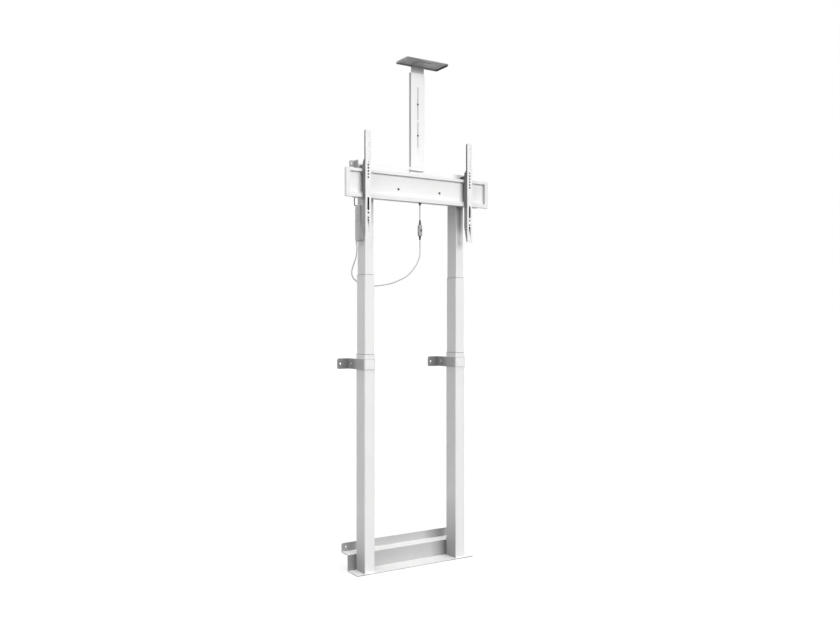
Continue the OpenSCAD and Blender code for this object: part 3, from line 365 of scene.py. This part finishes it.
def clamp_painted_shade(tree):
    round_the_corner, down_the_leg, at_the_wall = (-0.0424, -0.034), (0.022, 0.056), (0.085, 0.09)
    outer_millimetres, behind_the_column = (0.0185, 0.0215), (0.02, 0.04)
    depth = place(tree, "Y")
    side = fade(tree, depth, 0, 0.6, *round_the_corner)
    leg = fade(tree, depth, 0, 0.22, *down_the_leg)
    tab = times(tree, looking(tree, "forward"), fade(tree, depth, 0, 1, *at_the_wall))
    cut_face = fade(tree, off(tree, facing(tree, "Z"), 0.0), 0, 0.9, 0.4, 0.8)
    # Painted shadow lines: dark bands along the strap's upper and lower edges.
    edge = times(tree, fade(tree, off(tree, place(tree, "Z"), clamp_z), 0, 1, *outer_millimetres),
                 fade(tree, depth, 0.42, 0.85, *behind_the_column))
    return most(tree, plus(tree, side, leg), tab, cut_face, edge)


coat(toned_coat("clamp_coat", clamp_painted_shade, white, (0.225, 0.225, 0.229)),
     "wall_clamp_left", "wall_clamp_right")
coat(zinc, "clamp_spacers")


# Clamp bolts
# One M8 hexagon bolt through each clamp's legs, behind the column, in a spacer tube that keeps the
# legs from closing. Bright plated steel, with a dark washer and a hexagon on both sides.
def hexagon(across, turn):
    return across / 2 / math.cos((turn + math.pi / 6) % (math.pi / 3) - math.pi / 6)


def circle(radius, height, count=48):
    return [(radius * math.cos(math.tau * k / count), radius * math.sin(math.tau * k / count),
             height) for k in range(count)]


def six_sided(across, height, limit=1.0, count=48):
    ring = []
    for k in range(count):
        t = math.tau * k / count
        radius = min(hexagon(across, t), limit)
        ring.append((radius * math.cos(t), radius * math.sin(t), height))
    return ring


def turned(*profile):
    """Rings for a turned part, from pairs of radius and height."""
    return [circle(radius, height) for radius, height in profile]


tip = 0.0002


def hex_head(across, height):
    corner = across * 0.5774
    chamfer = [six_sided(across, height * h, corner * r)
               for h, r in ((0.8, 0.97), (0.88, 0.93), (0.95, 0.885))]
    return [six_sided(across, 0), six_sided(across, height * 0.72)] + chamfer + turned(
        (across * 0.42, height), (across * 0.2, height), (tip, height))


def thread(radius, low, high, pitch=0.00125):
    root = radius * 0.88
    steps = [(radius, low)]
    for k in range(int((high - low) / pitch)):
        base = low + k * pitch
        steps += [(radius, base + pitch * 0.2), (root, base + pitch * 0.7)]
    return turned((radius * 0.3, low), *steps, (radius * 0.8, high), (tip, high))


def laid(rings, centre, axis):
    turn = Vector((0, 0, 1)).rotation_difference(Vector(axis)).to_matrix().to_4x4()
    seat = Matrix.Translation(centre) @ turn
    return [[tuple(seat @ Vector(corner)) for corner in ring] for ring in rings]


bolt_steel = plated_steel("bolt_steel", (0.94, 0.96, 1.0), (0.84, 0.86, 0.91), 0.26)
dark_bolt = plated_steel("dark_bolt_steel", (0.09, 0.09, 0.095), (0.05, 0.05, 0.055), 0.34)
bolt_y, leg_out, bolt_radius, washer_thick = 0.073, 0.0276, 0.004, 0.00115
washer = turned((bolt_radius, 0), (0.0078, 0.00002), (0.0082, 0.0004), (0.0082, 0.0009),
                (0.0078, 0.0012), (bolt_radius, 0.0012))
stacks, washers = [], []
for column_x in column_at.values():
    for way in (-1, 1):
        face_x = column_x + way * leg_out
        washers.append(laid(washer, (face_x, bolt_y, clamp_z), (way, 0, 0)))
        stacks.append(laid(hex_head(across=0.0125, height=0.0036),
                           (face_x + way * washer_thick, bolt_y, clamp_z), (way, 0, 0)))
    stacks.append(laid(thread(radius=0.0038, low=0, high=0.0068),
                       (column_x + leg_out, bolt_y, clamp_z), (1, 0, 0)))
    stacks.append(laid(turned((bolt_radius, 0), (bolt_radius, 2 * leg_out)),
                       (column_x - leg_out, bolt_y, clamp_z), (1, 0, 0)))
bolts = made("clamp_bolt_set", stacks, bolt_steel, "stand")
washer_set = made("clamp_washers", washers, dark_bolt, "stand")
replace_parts(bolts, "clamp_bolts")


# Head box
# A folded sheet trough between the heads of the columns, closed by a lid at the wall side. It
# holds a gear motor over each column and the control unit between them, and is coated white.
cast_grey = plated_steel("cast_housing", (0.42, 0.43, 0.45), (0.33, 0.34, 0.36), 0.5)
motor_coat = moulded("motor_coat", (0.03, 0.03, 0.033), (0.022, 0.022, 0.025), 0.38)
coat(white_coat, "head_box", "head_cover", "beam_brackets")
coat(cast_grey, "gearbox_left", "gearbox_right")
coat(motor_coat, "motor_left", "motor_right")
coat(dark_plastic, "control_unit")


# Cross beam
# A wide shallow tray of 2 mm sheet with a recessed panel and a folded rim, bolted through two
# channels to the head box. Its top edge is the rail for the screen arms. Coated white, with painted
# shade under the top rim, inside the right rim and along the panel's lower fold; the panel is
# painted a touch lighter than the rim's front, to make up for the shade in its recess.
def beam_painted_shade(tree):
    behind_the_rim, below_the_top_rim = (-0.0745, -0.0735), (1.68, 1.69)
    inside_the_right_rim, lower_fold_z = (0.343, 0.344), 1.6055
    height, depth = place(tree, "Z"), place(tree, "Y")
    # Painted shade: top rim's underside, lower fold's crease, inside of the right rim; the rim's
    # front a touch darker than the panel.
    rim = times(tree, looking(tree, "down"), fade(tree, height, 0, 0.36, *below_the_top_rim))
    fold = times(tree, fade(tree, depth, 0, 0.3, *behind_the_rim),
                 fade(tree, off(tree, height, lower_fold_z), 1, 0, 0.001, 0.0015))
    end = times(tree, looking(tree, "left"),
                fade(tree, place(tree, "X"), 0, 0.45, *inside_the_right_rim))
    rim_front = fade(tree, depth, 0.075, 0, *behind_the_rim)
    return most(tree, rim, fold, end, rim_front)


coat(toned_coat("beam_coat", beam_painted_shade, (0.905, 0.905, 0.9), (0.25, 0.25, 0.253)), "beam_tray")


# Beam screws
# Two button-head socket screws hold the panel to its channels, and two more hold the camera arm's
# foot to the head box. Dark plated steel with a hexagon socket.
def button_head(width, height, socket):
    radius = width / 2
    dome = []
    for degrees in (0, 15, 30, 45, 57):
        a = math.radians(degrees)
        dome.append((radius * math.cos(a), height * (0.15 + 0.85 * math.sin(a))))
    recess = [six_sided(socket * 1.12, height * 0.88), six_sided(socket, height * 0.84),
              six_sided(socket * 0.98, height * 0.25)]
    return turned((radius * 0.5, 0), (radius, 0), *dome) + recess + turned(
        (socket * 0.3, height * 0.18), (tip, height * 0.15))


panel_row = [(x, -0.062, 1.6355, 0.01) for x in (-0.1055, 0.1055)]
foot_row = [(x, -0.037, 1.707, 0.009) for x in (-0.02, 0.02)]
stacks = []
for x, y, z, width in panel_row + foot_row:
    shank = width * 0.28
    stacks.append(laid(button_head(width, height=0.003, socket=0.0044), (x, y, z), (0, -1, 0)))
    stacks.append(laid(turned((shank, 0), (shank, 0.012)), (x, y, z), (0, 1, 0)))
panel_screws = made("panel_screws", stacks, dark_bolt, "carriage")
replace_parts(panel_screws, "beam_screws")


# Cable bracket
# A small angle of coated sheet screwed to the left end of the head box, with a hole in its tab for
# tying up the screen's leads. Its light grey, darker on its left side, is painted shade.
def shaded_left_side(tree):
    return looking(tree, "left")


# Painted shade: light grey all over and darker on the left side.
coat(toned_coat("bracket_coat", shaded_left_side, (0.56, 0.56, 0.565), (0.42, 0.42, 0.425)),
     "cable_bracket")


# Screen arms
# Two upright channels of 2 mm sheet, drilled and slotted for the screen's screws, with hooks that
# hang on the beam's top edge. Coated white in front. The dark flanks, darker beside and above the
# beam, the dark hooks and the dark walls of the holes are painted shade, and so is a black block
# inside each arm behind the holes, which makes the holes read black.
arm_at = {"left": -0.273, "right": 0.243}
shadow_block_width, shadow_block_depth, shadow_block_length = 0.0228, 0.0212, 0.230
shadow_block_y, shadow_block_low = -0.0866, 1.490
up = (0, 0, 1)


# Painted shade on the arms: flanks, hooks and parts behind the face, and hole walls near the black
# block.
def arm_painted_shade(tree):
    hooks, hole_edge, dark_holes_reach, dark_holes_middle = (-0.077, -0.072), (0.005, 0.0055), (0.125, 0.135), 1.625
    beside_the_beam, above_the_beam = (1.555, 1.585), (1.69, 1.72)
    height, across = place(tree, "Z"), place(tree, "X")
    flank_shade = to_both_sides(tree, "X", 0.668)
    more_shade_by_the_beam = plus(tree, fade(tree, height, 0, 0.28, *beside_the_beam),
                   fade(tree, height, 0, 0.14, *above_the_beam))
    off_centre = least(tree, off(tree, across, arm_at["left"]), off(tree, across, arm_at["right"]))
    hole_wall_shade = times(tree, fade(tree, off_centre, 1, 0, *hole_edge),
                      fade(tree, off(tree, facing(tree, "Y"), 0.0), 1, 0, 0.3, 0.7),
                      fade(tree, off(tree, height, dark_holes_middle), 1, 0, *dark_holes_reach))
    shade_behind_the_face = fade(tree, place(tree, "Y"), 0, 1, *hooks)
    return most(tree, plus(tree, flank_shade, times(tree, flank_shade, more_shade_by_the_beam)), shade_behind_the_face, hole_wall_shade)


def soft_box(size, corner, edge, steps=6):
    """A box that stands on its centre, with rounded uprights and softened upper and lower edges."""
    width, depth, height = size
    softening = []
    for k in range(steps + 1):
        a = math.pi / 2 * k / steps
        softening.append((edge * (1 - math.sin(a)), edge * (1 - math.cos(a))))
    levels = softening + [(inset, height - level) for inset, level in reversed(softening)]
    stack = []
    for inset, level in levels:
        r = max(corner - inset, 0.0003)
        outline = rounded_corners(width / 2 - inset - r, depth / 2 - inset - r, r, steps)
        stack.append([(x, y, level) for x, y in outline])
    return stack


coat(toned_coat("arm_coat", arm_painted_shade, white, (0.04, 0.04, 0.042)), "tv_arm_left", "tv_arm_right")
# A black block in each arm behind its holes: painted shadow.
hole_shadow_black = moulded("hole_shadow_black", (0.005, 0.005, 0.0055), (0.003, 0.003, 0.0035), 0.85,
                     grit=900.0, depth=0.0003, shine=0.03)
for side, arm_x in arm_at.items():
    rings = soft_box((shadow_block_width, shadow_block_depth, shadow_block_length), corner=0.0015, edge=0.0008)
    hole_shadow_block = made(f"arm_hole_shadow_{side}", [laid(rings, (arm_x, shadow_block_y, shadow_block_low), up)], hole_shadow_black,
               f"arm_{side}")


# Camera arm
# A slotted channel that stands up from the head box on a cranked foot, spot welded inside it. The
# slots let the camera shelf be clamped at the height that suits the screen. Coated white; the grey
# on the left flank and along the bend of the crank is painted shade.
def foot_painted_shade(tree):
    crank_z = 1.726
    crank_shade_line = fade(tree, off(tree, place(tree, "Z"), crank_z), 1, 0, 0.0014, 0.0018)
    return most(tree, crank_shade_line, shaded_left_side(tree))


bright_white = (0.94, 0.94, 0.935)
# Painted shade: grey on the left flank of arm and foot, and a dark line along the crank's bend.
coat(toned_coat("camera_arm_coat", shaded_left_side, bright_white, (0.45, 0.45, 0.455)), "camera_arm")
coat(toned_coat("camera_foot_coat", foot_painted_shade, bright_white, (0.4, 0.4, 0.403)), "camera_foot")


# Camera shelf
# A shallow tray with its edges folded down, welded on a slider that two dark bolts clamp in the
# camera arm's slots. A hole near its front takes the camera's screw. Coated white, painted a little
# darker than the rest to tone down its lit top, and with painted shade underneath, on both ends, on
# the slider's face behind the slots and just under the tray.
# Painted shade underneath, on the left end, inside the right lip, behind the slots and just under
# the tray.
def shelf_painted_shade(tree):
    right_lip, slot_edge, slots_top = (0.098, 0.101), (0.004, 0.0045), (2.094, 2.096)
    under_the_tray = (2.12, 2.18)
    height, across = place(tree, "Z"), place(tree, "X")
    under = times(tree, looking(tree, "down"), 0.33)
    left_end_shade = times(tree, looking(tree, "left"), 0.62)
    right_lip_shade = fade(tree, across, 0, 0.38, *right_lip)
    shade_behind_slots = times(tree, fade(tree, off(tree, across, 0.0), 0.31, 0, *slot_edge),
                         fade(tree, height, 1, 0, *slots_top))
    shade_under_tray = times(tree, fade(tree, height, 0, 0.55, *under_the_tray), looking(tree, "forward"))
    tray = plus(tree, most(tree, under, left_end_shade), right_lip_shade)
    return most(tree, tray, shade_behind_slots, shade_under_tray)


# The shelf's white is painted darker than the rest of the coat, as painted shade for its lit top.
coat(toned_coat("shelf_coat", shelf_painted_shade, (0.8, 0.8, 0.795), (0.12, 0.12, 0.122)),
     "shelf_slider", "camera_shelf")
head_y, nut_y, shank = -0.0503, -0.0457, 0.00245
stacks = []
for z in (1.880, 2.016):
    stacks.append(laid(button_head(width=0.009, height=0.0025, socket=0.004), (0, head_y, z),
                       (0, -1, 0)))
    stacks.append(laid(turned((shank, -0.0001), (shank, 0.0096)), (0, head_y, z), (0, 1, 0)))
    stacks.append(laid(hex_head(across=0.0078, height=0.004), (0, nut_y, z), (0, 1, 0)))
slider_bolts = made("slider_bolts", stacks, dark_bolt, "shelf")
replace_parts(slider_bolts, "shelf_bolts")


# Handset
# A two-button wired switch in a slim plastic case: two moulded shells that snap together, and two
# round keys with an arrow moulded on each. It hangs from a dark moulded strap under the left end
# of the head box.
case_y, case_z, parting_x = -0.011, 1.485, -0.271
case_corner, half_width, half_height = 0.008, 0.014, 0.067
key_heights = {"up": 1.522, "down": 1.496}


def case_outline(inset, x):
    return [(x, case_y + y, case_z + z)
            for y, z in rounded_corners(half_width, half_height, case_corner - inset)]


def half_case(name, outwards, key_holes, material):
    """One shell, from its inner wall over the parting edge and out to the softened rim."""
    wall, edge, depth, lip = 0.0015, 0.0014, 0.006, 0.0003
    key_bore, key_rim = 0.0078, 0.0081
    shell = bmesh.new()

    def ring_of(points):
        corners = [shell.verts.new(corner) for corner in points]
        nexts = corners[1:] + corners[:1]
        return corners, [shell.edges.new(ends) for ends in zip(corners, nexts)]

    def skinned(rings):
        for (first, _), (second, _) in zip(rings, rings[1:]):
            count = len(first)
            for k in range(count):
                n = (k + 1) % count
                shell.faces.new((first[k], first[n], second[n], second[k]))

    levels = [(wall, depth - wall), (wall, 0.0), (lip, 0.0), (0.0, 0.0004)]
    for k in range(7):
        a = math.pi / 2 * k / 6
        levels.append((edge * (1 - math.cos(a)), depth - edge + edge * math.sin(a)))
    rings = [ring_of(case_outline(inset, parting_x + outwards * rise)) for inset, rise in levels]
    skinned(rings)
    inner_edges, outer_edges = list(rings[0][1]), list(rings[-1][1])
    for height in key_holes:
        hole = []
        for radius, rise in ((key_rim, depth), (key_bore, depth - lip), (key_bore, depth - wall)):
            x = parting_x + outwards * rise
            hole.append(ring_of([(x, case_y + a, height + b) for a, b, _ in circle(radius, 0)]))
        skinned(hole)
        outer_edges += hole[0][1]
        inner_edges += hole[-1][1]
    for edges in (inner_edges, outer_edges):
        for face in bmesh.ops.triangle_fill(shell, use_beauty=True, edges=edges)["geom"]:
            if isinstance(face, bmesh.types.BMFace):
                face.material_index = 1
    bmesh.ops.recalc_face_normals(shell, faces=shell.faces)
    mesh = bpy.data.meshes.new(name)
    shell.to_mesh(mesh)
    shell.free()
    mesh.shade_smooth()
    for face in mesh.polygons:
        face.use_smooth = face.material_index == 0
        face.material_index = 0
    mesh.set_sharp_from_angle(angle=math.radians(40))
    mesh.materials.append(material)
    piece = added(name, mesh)
    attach(piece, "carriage")
    return piece


# Painted shade: the case's narrow edges are a darker grey, for the shadow of the arm in front of
# it.
def narrow_sides_shade(tree):
    return to_both_sides(tree, "Y", 1.0, 0.35, 0.7)


case_plastic = toned_coat("case_moulding", narrow_sides_shade, (0.53, 0.53, 0.528), (0.42, 0.42, 0.422))
coat(moulded("hanger_moulding", (0.13, 0.13, 0.133), (0.1, 0.1, 0.102), 0.5), "handset_hanger")
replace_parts(half_case("handset_front_shell", -1, key_heights.values(), case_plastic),
            "handset_front")
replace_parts(half_case("handset_rear_shell", 1, (), case_plastic), "handset_back")
key_grey = moulded("key_moulding", (0.5, 0.51, 0.52), (0.46, 0.47, 0.48), 0.34)
stem, flange = 0.0075, 0.009
cap = turned((0.003, 0), (stem, 0), (stem, 0.0024), (flange, 0.0024), (flange, 0.0034),
             (stem, 0.0034), (stem, 0.0057), (0.0073, 0.0061), (0.0069, 0.0064),
             (0.006, 0.00635), (0.004, 0.0061), (tip, 0.006))
for way, turn in (("up", 0.0), ("down", math.pi)):
    arrow = [[(r * math.cos(a + turn), r * math.sin(a + turn), h)
              for a in (0, math.tau / 3, 2 * math.tau / 3)]
             for r, h in ((0.0031, 0.0058), (0.003, 0.0063), (0.0028, 0.0064))]
    seat = (-0.2718, case_y, key_heights[way])
    key = made(f"handset_key_{way}", [laid(cap, seat, (-1, 0, 0)), laid(arrow, seat, (-1, 0, 0))],
               key_grey, f"key_{way}")
    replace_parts(key, f"key_{way}")


# Lead out of the beam
# A thin round lead leaves a rubber gland in the middle of the beam and hangs straight down to a
# small box. Both ends of the box and the gland have tapered rubber reliefs.
cord_jacket = moulded("cord_jacket", (0.62, 0.62, 0.62), (0.57, 0.57, 0.57), 0.5, grit=700.0,
                      depth=0.0003)


def cord_line(name, points, thickness, body):
    curve = bpy.data.curves.new(name, "CURVE")
    curve.dimensions = "3D"
    curve.bevel_depth = thickness / 2
    curve.bevel_resolution = 5
    spline = curve.splines.new("POLY")
    spline.points.add(len(points) - 1)
    for knot, where in zip(spline.points, points):
        knot.co = (*where, 1)
    spline.use_smooth = True
    curve.materials.append(cord_jacket)
    piece = added(name, curve)
    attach(piece, body)
    return piece


def ribbed(wide, narrow, length, ribs=4):
    profile = [(wide * 0.3, 0), (wide, 0)]
    step = length * 0.85 / ribs
    for k in range(ribs):
        low = length * (0.1 + 0.85 * k / ribs)
        r = wide + (narrow - wide) * low / length
        groove = r * 0.86
        profile += [(r, low), (r, low + step * 0.5), (groove, low + step * 0.6),
                    (groove, low + step * 0.9)]
    return turned(*profile, (narrow, length * 0.96), (narrow * 0.92, length),
                  (narrow * 0.3, length))


beam_under, lead_top, lead_length = 1.586, 1.5765, 0.0645
module_x, module_y, module_top, module_low = 0.0095, -0.052, 1.490, 1.442
down = (0, 0, -1)
gland = turned((0.003, -0.005), (0.0055, -0.005), (0.0055, 0), (0.0065, 0.0004), (0.0065, 0.002),
               (0.0045, 0.006), (0.0035, 0.01), (0.0026, 0.0105))
reliefs = made("cord_gland_and_reliefs", [
    laid(ribbed(0.0055, 0.0033, 0.022), (module_x, module_y, module_top), up),
    laid(ribbed(0.0055, 0.0033, 0.017), (module_x, module_y, module_low), down),
    laid(gland, (module_x, module_y, beam_under), down)], dark_plastic, "carriage")


# Box in the lead
# A small sealed box of pale moulded plastic, ribbed at both ends for a grip and with a dark window
# in front. The lead is moulded in at both ends.
stacks = [laid(soft_box((0.017, 0.016, module_top - module_low), corner=0.003, edge=0.0012),
               (module_x, module_y, module_low), up)]
for rise in (0.004, 0.0068, 0.0096, 0.0368, 0.0396, 0.0424):
    stacks.append(laid(soft_box((0.0176, 0.0166, 0.0014), corner=0.0032, edge=0.0004),
                       (module_x, module_y, module_low + rise), up))
# The box shares the handset's plastic, so its front and back are painted darker too: painted shade.
module_box = made("lead_box", stacks, case_plastic, "carriage")
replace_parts(module_box, "cord_module")
pane = soft_box((0.008, 0.0012, 0.011), corner=0.0004, edge=0.0003)
pane_at = (module_x + 0.001, module_y - 0.0081, module_low + 0.0185)
window = made("lead_box_window", [laid(pane, pane_at, up)], dark_plastic, "carriage")

lead_points = [(module_x, module_y, lead_top - lead_length * k / 12) for k in range(13)]
lead = cord_line("beam_lead", lead_points, 0.005, "carriage")


# Handset cord
# The same lead goes on from the box, hangs in one wide loop behind the left column and comes up
# into the end of the handset. It is a soft cord and hangs free, so it moves with the stand's head.
# The route is in millimetres, with its heights from the beam's underside.
ROUTE = [
    (9.5, -52, -161), (9.5, -52, -176), (10, -52, -194), (10, -52, -214), (8, -51, -235),
    (0, -48, -259), (-12, -42, -282), (-27, -32, -305), (-47, -18, -325), (-70, 0, -339),
    (-92, 18, -350), (-115, 34, -356), (-138, 47, -360), (-162, 56, -362), (-186, 60, -361),
    (-210, 61, -357), (-232, 61, -349), (-250, 61, -338), (-262, 60, -326), (-268, 58, -310),
    (-269, 53, -294), (-269, 43, -278), (-269, 29, -261), (-269, 17, -243), (-270, 9, -225),
    (-271, 5, -208), (-271, 5, -198)]


def eased(points, steps=8):
    """A smooth curve through all the points."""
    line = [Vector(p) for p in points]
    line = [2 * line[0] - line[1]] + line + [2 * line[-1] - line[-2]]
    smooth = []
    for a, b, c, d in zip(line, line[1:], line[2:], line[3:]):
        for k in range(steps):
            t = k / steps
            smooth.append(0.5 * (2 * b + (c - a) * t + (2 * a - 5 * b + 4 * c - d) * t * t
                                 + (3 * b - a - 3 * c + d) * t ** 3))
    return smooth + [line[-2]]


loop_points = eased([(x / 1000, y / 1000, beam_under + z / 1000) for x, y, z in ROUTE])
plug_profile = turned(
    (0.0026, 0), (0.0042, 0.0004), (0.005, 0.003), (0.0052, 0.010), (0.0052, 0.0125),
    (0.0046, 0.0128), (0.0046, 0.014), (0.0055, 0.0144), (0.0055, 0.0215), (0.0052, 0.0219),
    (0.002, 0.0219))
plug = made("handset_plug", [laid(plug_profile, (-0.271, 0.005, 1.388), up)], white_plastic,
            "carriage")
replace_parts(plug, "cord_reliefs")
loop = cord_line("handset_loop", loop_points, 0.005, "carriage")
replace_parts(loop, "handset_cord")


# Studio
# A plain white floor and white surroundings, with soft lights from above and from the front,
# weaker ones from the left and from behind, and a dim fill, so that the faces turned away from the
# lights stay grey. White only shows to the camera and in reflections and adds no light.
def lamp(name, to_the_right, height, level, spread):
    light = bpy.data.lights.new(name, "SUN")
    light.energy = level * math.pi
    light.angle = math.radians(spread)
    side, rise = math.radians(to_the_right), math.radians(height)
    towards = Vector((-math.sin(side) * math.cos(rise), math.cos(side) * math.cos(rise),
                      -math.sin(rise)))
    added(name, light).rotation_euler = towards.to_track_quat("-Z", "Y").to_euler()


def seen_or_reflected(tree):
    path = tree.nodes.new("ShaderNodeLightPath")
    return most(tree, *(path.outputs[ray] for ray in ("Is Camera Ray", "Is Glossy Ray",
                                                      "Is Transmission Ray")))


def plain_white(tree, strength):
    light = tree.nodes.new("ShaderNodeBackground")
    light.inputs["Color"].default_value = (1, 1, 1, 1)
    light.inputs["Strength"].default_value = strength
    return light.outputs["Background"]


lamp("high_light", to_the_right=38, height=80, level=0.52, spread=40)
lamp("front_light", to_the_right=12, height=14, level=0.655, spread=34)
lamp("left_light", to_the_right=-75, height=30, level=0.40, spread=60)
lamp("back_light", to_the_right=172, height=14, level=0.5, spread=70)

world = bpy.data.worlds.new("surroundings")
bpy.context.scene.world = world
world.use_nodes = True
tree = world.node_tree
tree.nodes.clear()
either = tree.nodes.new("ShaderNodeMixShader")
sky = tree.nodes.new("ShaderNodeOutputWorld")
tree.links.new(seen_or_reflected(tree), either.inputs[0])
tree.links.new(plain_white(tree, strength=0.15), either.inputs[1])
tree.links.new(plain_white(tree, strength=1.0), either.inputs[2])
tree.links.new(either.outputs["Shader"], sky.inputs["Surface"])

reach, under = 40.0, -0.0004
floor_mesh = bpy.data.meshes.new("floor")
floor_mesh.from_pydata([(-reach, -reach, under), (reach, -reach, under), (reach, reach, under),
                        (-reach, reach, under)], [], [(0, 1, 2, 3)])
floor_paint = bpy.data.materials.new("floor_paint")
floor_paint.use_nodes = True
tree = floor_paint.node_tree
tree.nodes.clear()
pale = tree.nodes.new("ShaderNodeBsdfDiffuse")
pale.inputs["Color"].default_value = (0.17, 0.17, 0.17, 1)
glow = tree.nodes.new("ShaderNodeEmission")
together = tree.nodes.new("ShaderNodeAddShader")
out = tree.nodes.new("ShaderNodeOutputMaterial")
tree.links.new(fade(tree, seen_or_reflected(tree), 0, 0.84, 0, 1), glow.inputs["Strength"])
tree.links.new(pale.outputs["BSDF"], together.inputs[0])
tree.links.new(glow.outputs["Emission"], together.inputs[1])
tree.links.new(together.outputs["Shader"], out.inputs["Surface"])
floor_mesh.materials.append(floor_paint)
added("floor", floor_mesh)

bpy.context.scene.view_settings.view_transform = "Standard"
